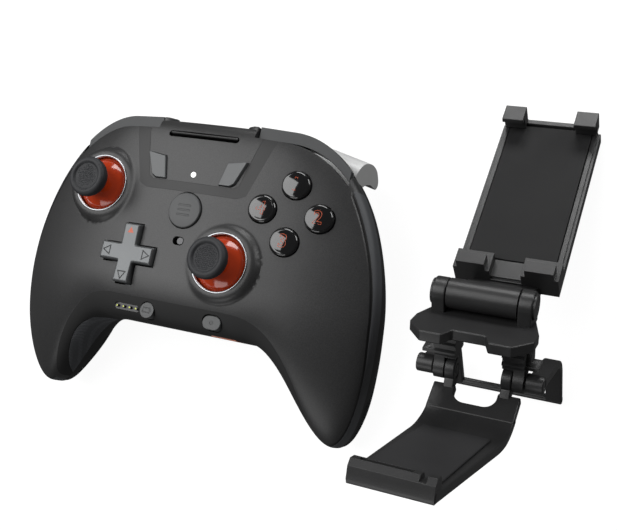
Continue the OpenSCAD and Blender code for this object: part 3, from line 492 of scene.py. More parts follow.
class Paint:
    """One material, or the sky, with its nodes."""

    def __init__(self, name, sky=False):
        self.made = bpy.data.worlds.new(name) if sky else bpy.data.materials.new(name)
        self.made.use_nodes = True
        self.tree = self.made.node_tree
        self.tree.nodes.clear()
        self.out = self.tree.nodes.new("ShaderNodeOutputWorld" if sky else "ShaderNodeOutputMaterial")

    def add(self, kind, settings=None, values=None):
        """New node of a kind, with its settings first and then its sockets' values or links."""
        node = self.tree.nodes.new(kind)
        for key, value in (settings or {}).items():
            setattr(node, key, value)
        for key, value in (values or {}).items():
            if value is None:
                continue
            socket = node.inputs[key]
            if isinstance(value, Socket):
                self.tree.links.new(value.link, socket)
            elif socket.type == "RGBA":
                socket.default_value = (*value, 1.0)
            else:
                socket.default_value = value
        return [Socket(self, s) for s in node.outputs if s.enabled]

    def place(self):
        """Object place in millimetres, as three values."""
        wide = self.add("ShaderNodeVectorMath", {"operation": "SCALE"}, {0: self.where(), "Scale": 1 / MM})[0]
        return self.add("ShaderNodeSeparateXYZ", None, {0: wide})

    def pick(self, kind, name):
        """Output of a new node, by its name."""
        return next(s for s in self.add(kind) if s.link.name == name)

    def where(self):
        """Object place in metres."""
        return self.pick("ShaderNodeTexCoord", "Object")

    def noise(self, scale, detail=2.0, rough=0.5, where=None):
        return self.add("ShaderNodeTexNoise", None, {
            "Vector": where or self.where(), "Scale": scale, "Detail": detail, "Roughness": rough})[0]

    def mix(self, factor, a, b):
        """Colour between a and b."""
        return self.add("ShaderNodeMix", {"data_type": "RGBA"}, {0: factor, 6: a, 7: b})[0]

    def vary(self, factor, colour, low, high):
        """Colour between two shades of one colour."""
        return self.mix(factor, shade(colour, low), shade(colour, high))

    def bump(self, height, depth, strength=1.0, normal=None):
        return self.add("ShaderNodeBump", None, {
            "Strength": strength, "Distance": depth, "Height": height, "Normal": normal})[0]

    def surface(self, **values):
        """Main shader, with its inputs given by name."""
        inputs = {k.replace("_", " "): v for k, v in values.items()}
        return self.show(self.add("ShaderNodeBsdfPrincipled", None, inputs)[0])

    def show(self, shader):
        """Puts a shader out, and gives back what was made."""
        self.tree.links.new(shader.link, self.out.inputs["Surface"])
        return self.made


def shade(colour, by):
    """The same colour, lighter or darker."""
    return tuple(c * by for c in colour)


def moulded(name, colour, rough=0.5, grain=0.6, speck=0.12):
    """Matte moulded plastic with a fine spark-eroded grain and a faint drift of tone."""
    p = Paint(name)
    fine = p.noise(2600.0, 3.0, 0.6)
    drift = p.noise(28.0, 2.0)
    rub = p.noise(160.0, 3.0)
    tone = p.vary((fine - 0.35).step(0.0, 0.3), colour, 1 - speck, 1 + speck)
    tone = p.mix((drift - 0.3) * 0.4, tone, shade(colour, 0.82))
    return p.surface(Base_Color=tone, Roughness=rough + (rub - 0.5) * 0.12,
                     Normal=p.bump(fine, 0.00005 * grain, 0.5))


def satin(name, colour, rough=0.34, coat=0.0):
    """Smooth moulded plastic with faint flow marks and light rubbing."""
    p = Paint(name)
    flow = p.noise(90.0, 3.0)
    fine = p.noise(1500.0, 2.0)
    tone = p.vary(flow, colour, 0.93, 1.07)
    return p.surface(Base_Color=tone, Roughness=rough + (flow - 0.5) * 0.14, Coat_Weight=coat,
                     Coat_Roughness=0.1, Normal=p.bump(fine, 0.00001, 0.25))


def soft_rubber(name, colour, rough=0.72, shine=0.5):
    """Soft rubber with a fine grain and light wear."""
    p = Paint(name)
    fine = p.noise(1900.0, 3.0, 0.65)
    wear = p.noise(60.0, 3.0)
    tone = p.vary(wear, colour, 0.86, 1.14)
    return p.surface(Base_Color=tone, Roughness=rough + (wear - 0.5) * 0.15, Specular_IOR_Level=shine,
                     Normal=p.bump(fine, 0.00004, 0.4))


def bare_metal(name, colour, rough=0.22, brushed=0.0):
    """Metal with faint streaks along one axis and a light haze."""
    p = Paint(name)
    drawn = p.add("ShaderNodeMapping", None, {"Vector": p.where(), "Scale": (1.0, 1.0, 9.0)})[0]
    streak = p.noise(700.0, 2.0, 0.5, drawn)
    haze = p.noise(120.0, 3.0)
    return p.surface(Base_Color=p.mix(haze, shade(colour, 0.93), colour), Metallic=1.0,
                     Roughness=rough + (haze - 0.5) * 0.1 + streak * brushed,
                     Normal=p.bump(streak, 0.00001, 0.3 * brushed + 0.02))


# Settings

def colour_property(name, description, default):
    """Colour that a user can change."""
    return FloatVectorProperty(name=name, description=description, default=default,
                               subtype="COLOR", size=3, min=0, max=1)


class ControllerSettings(bpy.types.PropertyGroup):
    """Colours and small sizes of the controller."""

    shell_colour: colour_property("Shell", "Grained face of the front shell", (0.032, 0.032, 0.0325))
    rear_colour: colour_property("Rear shell", "Rear shell and battery housing", (0.014, 0.014, 0.0145))
    grip_colour: colour_property("Grips", "Dotted rubber on the handles", (0.026, 0.027, 0.029))
    bumper_colour: colour_property("Bumpers", "Bumpers on the top edge", (0.05, 0.052, 0.054))
    trigger_colour: colour_property("Triggers", "Silver paint of the triggers", (0.82, 0.825, 0.82))
    dome_colour: colour_property("Stick domes", "Glossy ball skirts of the sticks", (0.5, 0.045, 0.009))
    cap_colour: colour_property("Stick caps", "Rubber caps of the sticks", (0.022, 0.023, 0.026))
    key_colour: colour_property("Keys", "Grey keys and direction pad", (0.13, 0.135, 0.138))
    mark_colour: colour_property("Marks", "Coloured marks on the buttons", (0.6, 0.1, 0.035))
    lamp_colour: colour_property("Charge lamps", "Small lamps beside the battery key", (0.62, 0.68, 0.06))
    mark_width: FloatProperty(name="Mark line", description="Thickness of the drawn numerals",
                              default=0.0001, min=0.00005, max=0.0003, unit="LENGTH")


class ClipSettings(bpy.types.PropertyGroup):
    """Colours and edges of the phone clip."""

    plastic_colour: colour_property("Plastic", "Black moulded pieces of the clip", (0.027, 0.027, 0.0275))
    pad_colour: colour_property("Pads", "Soft pads of the tray and the claw", (0.014, 0.014, 0.0145))
    edge: FloatProperty(name="Edge radius", description="Rounding of the moulded edges",
                        default=0.0005, min=0.0001, max=0.001, unit="LENGTH")


class StageSettings(bpy.types.PropertyGroup):
    """Floor and light."""

    floor_colour: colour_property("Floor", "Plain pale floor", (0.93, 0.93, 0.93))
    key_power: FloatProperty(name="Key lamp", description="Power of the large soft lamp",
                             default=9.0, min=0, unit="POWER")
    fill: FloatProperty(name="Sky", description="Strength of the even light all round",
                        default=0.06, min=0)


def tint(piece):
    """Colour of a piece of the controller, from the settings."""
    return tuple(getattr(bpy.context.scene.controller_settings, piece + "_colour"))


# Pieces

def grip_dots(x, y, z):
    """Rows of small dots, 1 on a dot."""
    return ((x * 3.9 + z * 2.2).wave() * (y * 3.9 + z * 1.1).wave()).step(0.1, 0.75)


def face_paint():
    """Grained face with a smooth band round the top panel, a dark chin panel and rubber on the handles; the
    rubber is painted lighter than the grips, as painted light.
    """
    colour = tint("shell")
    rubber_colour = tint("grip")
    p = Paint("grained_face")
    x, y, z = p.place()
    ax = abs(x)
    outer = ((ax - 24) * 0.949 - (y - 16) * 0.316).most(14.3 - y)
    outer = outer.most((ax - 20.5) * 0.437 - (y - 14.3) * 0.9)
    inner = ((ax - 20) * 0.967 - (y - 18.7) * 0.259).most(18 - y)
    inner = inner.most((ax - 18) * 0.5 - (y - 18) * 0.866)
    band = (1 - outer.step(-0.12, 0.12)) * inner.step(-0.12, 0.12)
    chin = (-29.2 - (ax - 24).most(0.0) ** 2.75 * 0.0019 - y).step(-0.1, 0.1)
    over = (ax - 42.5).most(0.0) ** 2.35 * 0.032 + (42.5 - ax).most(0.0) ** 4.35 * 0.00447
    below = 36.1 - over - z
    flank = ax.step(62.0, 63.0)
    handle = (1 - y.step(-34.5, -34.0)) * (1 - flank)
    rubber = below.step(-0.08, 0.08) * handle
    groove = (1 - abs(below).step(0.1, 0.32)) * handle
    dots = grip_dots(x, y, z) * rubber
    past = (SEAM_FALL_Y - y).most(0.0) * (1 / SEAM_FALL_SPAN)
    split = (y - SEAM_MID_Y) * SEAM_TILT + (FACE_H - SEAM_DROP) - past ** SEAM_POWER * SEAM_FALL
    side = split + 7.2 - z
    outside = flank * (1 - y.step(25.0, 25.4))
    rubber = rubber.most(side.step(-0.08, 0.08) * outside)
    groove = groove.most((1 - abs(side).step(0.2, 0.6)) * outside)
    smooth = band.most(chin)
    fine = p.noise(2400.0, 3.0, 0.6)
    drift = p.noise(24.0, 2.0)
    tone = p.vary((fine - 0.35).step(0.0, 0.3), colour, 0.8, 1.2)
    tone = p.mix((drift - 0.3) * 0.3, tone, shade(colour, 0.85))
    tone = p.mix(band, tone, shade(colour, 0.7))
    tone = p.mix(chin, tone, shade(colour, 0.42))
    # Rubber strip painted three to five times lighter than the same grip rubber elsewhere: painted light on
    # the inner side of the handles.
    tone = p.mix(rubber, tone, p.vary(dots, rubber_colour, 3.0, 5.0))
    tone = p.mix(groove, tone, (0.002, 0.002, 0.002))
    rough = 0.4 + band * 0.1 + chin * 0.34 + rubber * 0.12 + (drift - 0.5) * 0.05
    grain = p.bump(fine * (1 - smooth), 0.00003, 0.3)
    relief = p.bump(1 - smooth, 0.00012, 0.5, grain)
    return p.surface(Base_Color=tone, Roughness=rough,
                     Normal=p.bump(dots - groove * 2, 0.0002, 0.6, relief))


def plug(outline, z0, z1):
    """Cutting tool of an outline in plan."""
    return add_mesh("tool", *prism(outline, z0, z1), smooth=False)


def disc(x, y, r, z0=30.0, z1=60.0, sides=96):
    """Round cutting tool."""
    return plug(circle(x, y, r, sides), z0, z1)


def slot_outline(x, y, length, width, sides=24):
    """Outline of a slot with round ends."""
    half = (length - width) / 2
    ends = []
    for s in (1, -1):
        for k in range(sides + 1):
            a = math.pi * (k / sides - s / 2)
            ends.append((x + s * half + width / 2 * math.cos(a), y + width / 2 * math.sin(a)))
    return ends


def key_outline(side, grow):
    """Slanted outline of a side key, grown all round."""
    place = [(22 + grow, 28.6 + grow), (14.2 - grow, 27.4 + grow), (12 - grow, 18.6 - grow),
             (16.6 + grow, 18.6 - grow), (18.4 + grow, 19.8 - grow)]
    if side > 0:
        return place
    return [(-x, y) for x, y in reversed(place)]


def bumper_outline(side, grow_in, grow_out, x0, x1, steps=60):
    """Outline of a bumper in plan, grown to the inside and to the outside."""
    xs = [x0 + (x1 - x0) * k / steps for k in range(steps + 1)]
    outside = [(side * x, arc_edge(x, 44.4, 79.4) + grow_out) for x in xs]
    inside = [(side * x, arc_edge(x, 39.6, 78.4) - grow_in * (x - x0 + 12) / (x1 - x0 + 12)) for x in xs]
    line = outside + inside[::-1]
    return line[::-1] if side > 0 else line


class CONTROLLER_OT_front_shell(bpy.types.Operator):
    """Grained front shell with flared collars and all its openings"""

    bl_idname = "controller.front_shell"
    bl_label = "Front shell"

    def execute(self, context):
        form = skin(lambda u, v, side: front_point(u, v, WALL * side), 300, 160)
        shell = add_mesh("front_shell_skin", *form)
        tools = [disc(x, y, RING_OUT + 0.06) for x, y, _ in STICKS.values()]
        tools += [disc(x, y, 5.75) for x, y in circle(PAD_X, PAD_Y, PAD_STEP, 4)]
        w, h = DPAD_ARM + DPAD_GAP, DPAD_REACH + DPAD_GAP
        cross = [(w, h), (-w, h), (-w, w), (-h, w), (-h, -w), (-w, -w)]
        cross += [(-a, -b) for a, b in cross]
        tools.append(plug([(DPAD[0] + a, DPAD[1] + b) for a, b in cross], 40.0, 60.0))
        tools.append(disc(0, MENU_Y, 7.35))
        tools += [plug(key_outline(s, 0.35), 42.0, 60.0) for s in (-1, 1)]
        tools.append(disc(*BATTERY_KEY, 3.35))
        tools.append(plug(slot_outline(*PROGRAM_KEY, 8.5, 6.1), 36.0, 60.0))
        tools.append(plug(slot_outline(*LAMP_BAR, 11.6, 2.7), 36.0, 60.0))
        tools.append(disc(0, STATUS_Y, 1.12, sides=48))
        tools.append(plug(slot_outline(0, MODE_Y, 5.0, 3.4), 42.0, 60.0))
        tools.append(plug(slot_outline(0, SLOT_Y, 31.6, 2.6), 42.0, 60.0))
        for s in (-1, 1):
            tools.append(plug(bumper_outline(s, 1.55, 20, BUMP_IN - 0.45, BUMP_OUT + 0.45), 31.0, 70.0))
        tools.append(plug([(16.6, -41), (27.4, -41), (27.4, -33), (16.6, -33)], 31.0, 37.4))
        crease(cut(shell, *tools), 38)
        face = face_paint()
        stand_for(shell, face, "front_shell")
        line = [(37.2, 45.0), (38.2, 45.0), (38.2, 48.8), (37.7, 49.1), (37.2, 48.8)]
        ridge = add_mesh("slot_ridge", *bar(line, -15.0, 15.0))
        add_to(round_edges(ridge, 0.2), face, "front_shell")
        return {"FINISHED"}


def grip_paint():
    """Rubber with rows of small raised dots."""
    colour = tint("grip")
    p = Paint("dotted_grip")
    x, y, z = p.place()
    dots = grip_dots(x, y, z)
    fine = p.noise(1500.0, 3.0)
    tone = p.vary(dots, colour, 0.72, 1.2)
    return p.surface(Base_Color=tone, Roughness=0.66 + (fine - 0.5) * 0.12,
                     Normal=p.bump(dots, 0.00025, 0.7))


def hinge_place(side):
    """Place and turn of a trigger on its hinge."""
    place = Matrix.Translation((side * HINGE[0] * MM, HINGE[1] * MM, HINGE[2] * MM))
    return place @ Matrix.Rotation(-side * TRIGGER_TURN, 4, "Z")


class CONTROLLER_OT_rear_shell(bpy.types.Operator):
    """Rear shell, rubber grips and battery housing"""

    bl_idname = "controller.rear_shell"
    bl_label = "Rear shell"

    def execute(self, context):
        points, faces = skin(lambda u, v, side: rear_point(u, v, WALL * side), 160, 80)
        shell = add_mesh("rear_shell_skin", points, [f[::-1] for f in faces])
        tools = []
        for s in (-1, 1):
            tool = plug([(-14.9, -7), (14.9, -7), (14.9, 53), (-14.9, 53)], -40, 6.6)
            tool.data.transform(hinge_place(s))
            tools.append(tool)
        tub = []
        for turn, (x, y) in enumerate(((27.2, 18.2), (-27.2, 18.2), (-27.2, -12.2), (27.2, -12.2))):
            tub += quarter(x, y, 6, turn, 8)
        tools.append(plug(tub, -5.0, 35.0))
        for x, y in ((-57, -8), (57, -8), (-25, 33.4), (25, 33.4)):
            tools.append(disc(x, y, 2.7, -20.0, 33.0, 48))
        crease(cut(shell, *tools), 38)
        rear = moulded("rear_moulding", tint("rear"), 0.52)
        stand_for(shell, rear, "rear_shell")
        for name, first in (("grip_l", 3), ("grip_r", 28)):
            span, rise = (first / 40, (first + 9) / 40), (1 / 16, 9 / 16)

            def raised(u, v, side):
                near = min(u - span[0], span[1] - u, v - rise[0], rise[1] - v)
                return rear_point(u, v, 0.0 if side else -0.9 * roll(1 - min(1.0, near / 0.03), 2) - 0.02)

            points, faces = skin(raised, 54, 48, span, rise)
            grip = add_mesh(name + "_skin", points, [f[::-1] for f in faces])
            stand_for(crease(grip, 50), grip_paint(), name)
        renew("rear_housing", rear, 0.8)
        return {"FINISHED"}


class CONTROLLER_OT_shoulders(bpy.types.Operator):
    """Bumpers and triggers"""

    bl_idname = "controller.shoulders"
    bl_label = "Bumpers and triggers"

    def execute(self, context):
        bumper_paint = satin("bumper_satin", tint("bumper"), 0.4)
        trigger_paint = satin("trigger_silver", tint("trigger"), 0.36)
        lug_paint = moulded("lug_black", tint("shell"), 0.42)
        side_line = [
            (-2.6, 2.6), (0, 3.6), (4, 4.4), (8.5, 4.6), (12.2, 3.4), (14.8, 0.6), (16.2, -4),
            (16.4, -8), (15.8, -12), (14.2, -15.6), (12.4, -18.4), (10.6, -19.4), (9.2, -18.6), (9.2, -15.4),
            (9.2, -11.6), (7.8, -7.6), (4.8, -4.6), (0, -3.6), (-2.6, -2.6), (-3.6, 0), (-2.6, 2.6)]
        line = curve_through(side_line, 5)[:-1]
        for s, n in ((-1, "l"), (1, "r")):
            points, faces = prism(bumper_outline(s, 0, 0, BUMP_IN, BUMP_OUT), BUMP_LO, BUMP_HI)
            slope = BUMP_FALL / (BUMP_OUT - BUMP_IN)
            points = [(x, y, z if z < BUMP_HI else z - slope * (abs(x) - BUMP_IN)) for x, y, z in points]
            bumper = add_mesh("bumper_%s_piece" % n, points, faces)
            middle = s * 25
            notch = [(middle + 5, 36), (middle + 5, 48), (middle - 5, 48), (middle - 5, 36)]
            cut(bumper, plug(notch, 33.0, BUMP_LO + 2))
            round_edges(bumper, 1.1, 4)
            stand_for(bumper, bumper_paint, "bumper_" + n)
            outline = [(15.6, 43.4), (21.4, 43.4), (21.4, 46.2), (19.2, 46.1), (17.8, 45.2), (16.6, 44.5)]
            points, faces = prism([(s * x, z) for x, z in outline[::s]], -44.3, -41.8)
            lug = add_mesh("bumper_lug_" + n, [(x, -d, z) for x, z, d in points], faces)
            add_to(round_edges(lug, 0.5), lug_paint, "front_shell")
            trigger = add_mesh("trigger_%s_piece" % n, *bar(line, -11.5, 11.5))
            outer = [(s * 11.5, 4), (s * 20, 4), (s * 20, 40), (s * 7.9, 40), (s * 7.9, 13)]
            cut(trigger, plug(outer[::-s], -40.0, 40.0))
            trigger.data.transform(hinge_place(s))
            round_edges(trigger, 1.0, 4, 50)
            stand_for(trigger, trigger_paint, "trigger_" + n)
        return {"FINISHED"}


def cap_paint():
    """Soft black rubber with a pebbled dish in the top."""
    colour = tint("cap")
    p = Paint("stick_rubber")
    fine = p.noise(1700.0, 3.0, 0.65)
    cells = p.add("ShaderNodeTexVoronoi", {"feature": "F1"},
                  {"Vector": p.where(), "Scale": 1350.0, "Randomness": 0.3})[0]
    x, y, z = p.place()
    left, right = [((x - cx) ** 2 + (y - cy) ** 2).root() for cx, cy, _ in STICKS.values()]
    dish = (1 - left.least(right).step(4.6, 4.9)) * z.step(58.0, 58.2)
    pebble = (1 - cells.step(0.15, 0.5)) * dish
    tone = p.mix(pebble, colour, shade(colour, 1.25))
    wear = p.noise(80.0, 3.0)
    return p.surface(Base_Color=tone, Roughness=0.62 + (wear - 0.5) * 0.15,
                     Normal=p.bump(pebble, 0.0003, 0.8, p.bump(fine, 0.00004, 0.35)))


def on_ball(r, degrees):
    """Point of a ball's profile at an angle from its axis."""
    a = math.radians(degrees)
    return r * math.sin(a), r * math.cos(a)


class CONTROLLER_OT_sticks(bpy.types.Operator):
    """Sticks with their rings, domes and rubber caps"""

    bl_idname = "controller.sticks"
    bl_label = "Sticks"

    def execute(self, context):
        gloss = satin("dome_gloss", tint("dome"), 0.14, 0.6)
        ring_paint = bare_metal("ring_polish", (0.4, 0.405, 0.42), 0.2)
        rubber = cap_paint()
        grey = satin("sensor_grey", (0.1, 0.1, 0.11), 0.5)
        pale = satin("yoke_pale", (0.6, 0.6, 0.61), 0.5)
        ring_line = [
            (10.9, -1.4), (RING_OUT, -1.4), (RING_OUT, -0.02), (11.7, 0.0), (11.8, 0.12), (11.74, 0.26),
            (11.52, 0.34), (11.2, 0.3), (11.0, 0.12), (10.9, -0.1), (10.9, -1.4)]
        under = [on_ball(BALL_IN, a) for a in (14, 27, 40, 53, SKIRT_ANGLE)]
        over = [on_ball(BALL_OUT, SKIRT_ANGLE - SKIRT_ANGLE * k / 32) for k in range(32)]
        stem = BALL_IN * math.cos(math.asin(3 / BALL_IN))
        ball_line = [(0.0, -2.0), (3.0, -2.0), (3.0, stem)] + under + over
        ball_line += [(3.2, 14.25), (3.0, 18.9), (0.0, 18.9)]
        cap_line = [
            (0.0, 4.4), (3.0, 4.4), (4.6, 4.42), (5.2, 4.6), (5.7, 5.05), (6.4, 5.7), (7.1, 6.5),
            (7.65, 7.5), (7.95, 8.6), (8.0, 9.4), (7.92, 10.2), (7.6, 10.85), (7.05, 11.25), (6.5, 11.38),
            (5.95, 11.3), (5.55, 11.0), (5.2, 10.6), (4.6, 10.5), (3.0, 10.36), (1.4, 10.28), (0.0, 10.26)]
        for n, (x, y, top) in STICKS.items():
            ring = revolve(ring_line, (x, y, top), 128)
            stand_for(add_mesh("stick_ring_%s_piece" % n, *ring), ring_paint, "stick_ring_" + n)
            dome = add_mesh("stick_dome_%s_piece" % n, *revolve(ball_line, (x, y, top - PIVOT_DROP), 128))
            stand_for(crease(dome, 40), gloss, "stick_dome_" + n)
            cap = revolve(curve_through(cap_line, 4), (x, y, top), 112)
            stand_for(add_mesh("stick_cap_%s_piece" % n, *cap), rubber, "stick_cap_" + n)
            finish_node(grey, "stick_module_" + n)
            finish_node(pale, "stick_yoke_" + n)
        return {"FINISHED"}


def arrow(x, y):
    """Distance in millimetres from a small triangle that points along +Y."""
    return (abs(x) * 0.866 + y * 0.5 - 0.5).most(-0.55 - y)


def pad_paint():
    """Satin grey cross with a coloured triangle on top and three engraved ones."""
    colour = tint("key")
    p = Paint("direction_satin")
    x, y, _ = p.place()
    x = x - DPAD[0]
    y = y - DPAD[1]
    up = 1 - arrow(x * 0.66, (y - 8.8) * 0.66).step(-0.05, 0.05)
    right = abs(arrow(y * -0.62, (x - 8.6) * 0.62) - 0.1)
    down = abs(arrow(x * -0.62, (y + 8.6) * -0.62) - 0.1)
    left = abs(arrow(y * 0.62, (x + 8.6) * -0.62) - 0.1)
    groove = 1 - right.least(down).least(left).step(0.05, 0.15)
    flow = p.noise(90.0, 3.0)
    tone = p.vary(flow, colour, 0.93, 1.07)
    tone = p.mix(groove, tone, shade(colour, 0.25))
    tone = p.mix(up, tone, tint("mark"))
    return p.surface(Base_Color=tone, Metallic=0.5 - up * 0.5, Roughness=0.34 + (flow - 0.5) * 0.1,
                     Normal=p.bump(1 - groove, 0.0002, 0.8))


class CONTROLLER_OT_direction_pad(bpy.types.Operator):
    """Dished direction pad"""

    bl_idname = "controller.direction_pad"
    bl_label = "Direction pad"

    def execute(self, context):
        arm, reach = DPAD_ARM, DPAD_REACH
        line = [-reach + (reach - arm) * k / 24 for k in range(24)]
        line += [-arm + 2 * arm * k / 22 for k in range(22)]
        line += [arm + (reach - arm) * k / 24 for k in range(25)]
        count = len(line)

        def depth(x, y):
            """Distance from the rim of the cross."""
            ax, ay = abs(x), abs(y)
            if ax <= arm and ay <= arm:
                return math.hypot(arm - ax, arm - ay)
            if ax > arm:
                return min(reach - ax, arm - ay)
            return min(reach - ay, arm - ax)

        edge = 0.9
        points = []
        for x in line:
            for y in line:
                inward = edge - min(depth(x, y), edge)
                round_off = edge - math.sqrt(max(0.0, edge ** 2 - inward ** 2))
                dish = 0.55 * math.exp(-(x * x + y * y) / 45.0)
                points.append((DPAD[0] + x, DPAD[1] + y, FACE_H + KEY_RISE - round_off - dish))
        faces = []
        for i in range(count - 1):
            for j in range(count - 1):
                mx = (line[i] + line[i + 1]) / 2
                my = (line[j] + line[j + 1]) / 2
                if abs(mx) < arm or abs(my) < arm:
                    a = i * count + j
                    faces.append((a, a + count, a + count + 1, a + 1))
        pad = add_mesh("dpad_piece", points, faces)
        grid = bmesh.new()
        grid.from_mesh(pad.data)
        bmesh.ops.delete(grid, geom=[v for v in grid.verts if not v.link_faces], context="VERTS")
        rim = [e for e in grid.edges if e.is_boundary]
        made = bmesh.ops.extrude_edge_only(grid, edges=rim)["geom"]
        for v in made:
            if isinstance(v, bmesh.types.BMVert):
                v.co.z = (FACE_H - 6.4) * MM
        bmesh.ops.recalc_face_normals(grid, faces=grid.faces)
        grid.to_mesh(pad.data)
        grid.free()
        plate = revolve([(3.2, -7.4), (13, -7.4), (13, -6.2), (3.2, -6.2), (3.2, -7.4)], (*DPAD, FACE_H))
        paint = pad_paint()
        stand_for(crease(pad, 60), paint, "dpad")
        add_to(add_mesh("dpad_plate", *plate, smooth=False), paint, "dpad")
        finish_node(satin("rocker_grey", (0.06, 0.06, 0.065), 0.5), "dpad_rocker")
        return {"FINISHED"}


class CONTROLLER_OT_action_buttons(bpy.types.Operator):
    """Four glossy domed buttons with outlined numerals"""

    bl_idname = "controller.action_buttons"
    bl_label = "Action buttons"

    def execute(self, context):
        gloss = satin("button_black", (0.008, 0.008, 0.0085), 0.07, 1.0)
        p = Paint("numeral_orange")
        speck = p.noise(900.0, 2.0)
        colour = tint("mark")
        ink = p.surface(Base_Color=p.vary(speck, colour, 0.9, 1.1), Roughness=0.3)
        flat, edge, dome = 4.3, 1.1, 0.65
        flange, seat = 6.3, 38.2
        marks = (("east", "2"), ("north", "1"), ("west", "4"), ("south", "3"))
        for (name, digit), (x, y) in zip(marks, circle(PAD_X, PAD_Y, PAD_STEP, 4)):
            top = FACE_H - CROWN * x * x + KEY_RISE
            slope = 2 * CROWN * x
            rim = flat + edge
            line = [(0.0, seat), (flange, seat), (flange, seat + 1), (rim, seat + 1), (rim, top - KEY_RISE)]
            line += quarter(flat, top - dome - edge, edge, 0, 12)
            line += [(flat * (1 - j / 16), top - dome + dome * (1 - (1 - j / 16) ** 2)) for j in range(1, 17)]
            points, faces = revolve(line, (x, y, 0.0), 112)
            points = [(a, b, c - slope * (a - x) if c > top - KEY_RISE - 0.05 else c) for a, b, c in points]
            button = add_mesh("button_%s_piece" % name, points, faces)
            stand_for(crease(button, 40), gloss, "button_" + name)
            text = bpy.data.curves.new("numeral_" + name, "FONT")
            text.body = digit
            text.align_x = "CENTER"
            text.align_y = "CENTER"
            text.size = 7.0 * MM
            text.offset = 0.12 * MM
            text.fill_mode = "NONE"
            text.bevel_depth = context.scene.controller_settings.mark_width
            text.bevel_resolution = 1
            glyph = new_object("numeral_source", text)
            bpy.context.view_layer.update()
            graph = bpy.context.evaluated_depsgraph_get()
            mesh = bpy.data.meshes.new_from_object(glyph.evaluated_get(graph))
            bpy.data.objects.remove(glyph)
            for v in mesh.vertices:
                r = v.co.xy.length / MM
                rise = -dome * (min(r, flat) / flat) ** 2
                v.co.z += (top + rise) * MM - slope * v.co.x
                v.co.x += x * MM
                v.co.y += y * MM
            mesh.shade_smooth()
            add_to(new_object("numeral_" + name, mesh), ink, "button_" + name)
        return {"FINISHED"}


def key_paint(name, mark=None, dim=0.6):
    """Satin grey key, with an engraved sign from mark(x, y) where one is given."""
    colour = tint("key")
    p = Paint(name)
    flow = p.noise(100.0, 3.0)
    fine = p.noise(2000.0, 2.0)
    tone = p.vary(flow, colour, 0.88 * dim, 1.02 * dim)
    normal = p.bump(fine, 0.00003, 0.3)
    if mark:
        x, y, _ = p.place()
        sign = mark(x, y)
        tone = p.mix(sign, tone, shade(colour, 0.35))
        normal = p.bump(1 - sign, 0.0002, 0.7, normal)
    return p.surface(Base_Color=tone, Roughness=0.42 + (flow - 0.5) * 0.1, Normal=normal)


def three_bars(x, y):
    """Three level bars on the menu key."""
    low, middle, high = [abs(y - MENU_Y - 1.9 * k) - 0.32 for k in (-1, 0, 1)]
    bars = low.least(middle).least(high).most(abs(x) - 2.7)
    return 1 - bars.step(-0.08, 0.08)


def cell_sign(x, y):
    """Outline of a battery with its nub, on the battery key."""
    x = x - BATTERY_KEY[0] + 0.2
    height = abs(y - BATTERY_KEY[1])
    box = (abs(x) - 1.5).most(height - 0.9)
    nub = (abs(x - 1.85) - 0.25).most(height - 0.45)
    line = abs(box) - 0.16
    return 1 - line.least(nub).step(-0.06, 0.06)


def dot_sign(x, y):
    """Round dot on the program key."""
    r = ((x - PROGRAM_KEY[0]) ** 2 + (y - PROGRAM_KEY[1]) ** 2).root()
    return 1 - (r - 0.75).step(-0.08, 0.08)


class CONTROLLER_OT_keys(bpy.types.Operator):
    """Menu, side, battery and program keys, the mode switch, lamps and the charging socket"""

    bl_idname = "controller.keys"
    bl_label = "Keys and lamps"

    def execute(self, context):
        line = [(0.0, 34.5), (2.4, 34.5), (2.4, 44.6), (8.0, 44.6), (8.0, 46.0), (7.0, 46.0), (7.0, 50.2)]
        line += quarter(6.5, 50.4, 0.5, 0, 6)
        line += [(6.5 * (1 - k / 10), 50.9 + 0.4 * (1 - (1 - k / 10) ** 2)) for k in range(1, 11)]
        menu = add_mesh("menu_button_piece", *revolve(line, (0, MENU_Y, 0), 112))
        stand_for(crease(menu, 40), key_paint("menu_key", three_bars, 0.44), "menu_button")
        plain = key_paint("side_key", dim=1.0)
        for node in ("select_button", "start_button"):
            renew(node, plain, 0.35)
        renew("battery_button", key_paint("battery_key", cell_sign), 0.45, 4)
        renew("program_button", key_paint("program_key", dot_sign), 0.8, 4)
        switch = satin("switch_grey", (0.13, 0.13, 0.135), 0.4)
        renew("mode_switch", switch, 0.4, 4)
        p = Paint("lamp_bar")
        x, y, _ = p.place()
        across = y - LAMP_BAR[1]
        spots = None
        for k in range(4):
            d = ((x - LAMP_BAR[0] + 4.35 - 2.9 * k) ** 2 + across ** 2).root()
            spots = d if spots is None else spots.least(d)
        lit = 1 - spots.step(0.24, 0.36)
        lamp = tint("lamp")
        dust = p.noise(600.0, 2.0)
        glow = p.mix(lit, (0.0, 0.0, 0.0), shade(lamp, 0.4))
        finish_node(p.surface(Base_Color=p.mix(lit, (0.012, 0.012, 0.012), lamp), Roughness=0.22 + dust * 0.1,
                              Emission_Color=glow, Emission_Strength=1.0), "led_lenses")
        p = Paint("status_lamp")
        dust = p.noise(600.0, 2.0)
        finish_node(p.surface(Base_Color=(0.9, 0.9, 0.88), Roughness=0.25 + dust * 0.1,
                              Emission_Color=p.mix(dust, (0.75, 0.75, 0.74), (0.9, 0.9, 0.88)),
                              Emission_Strength=1.0), "status_led")
        finish_node(satin("socket_orange", (0.6, 0.13, 0.03), 0.3), "charge_port")
        return {"FINISHED"}


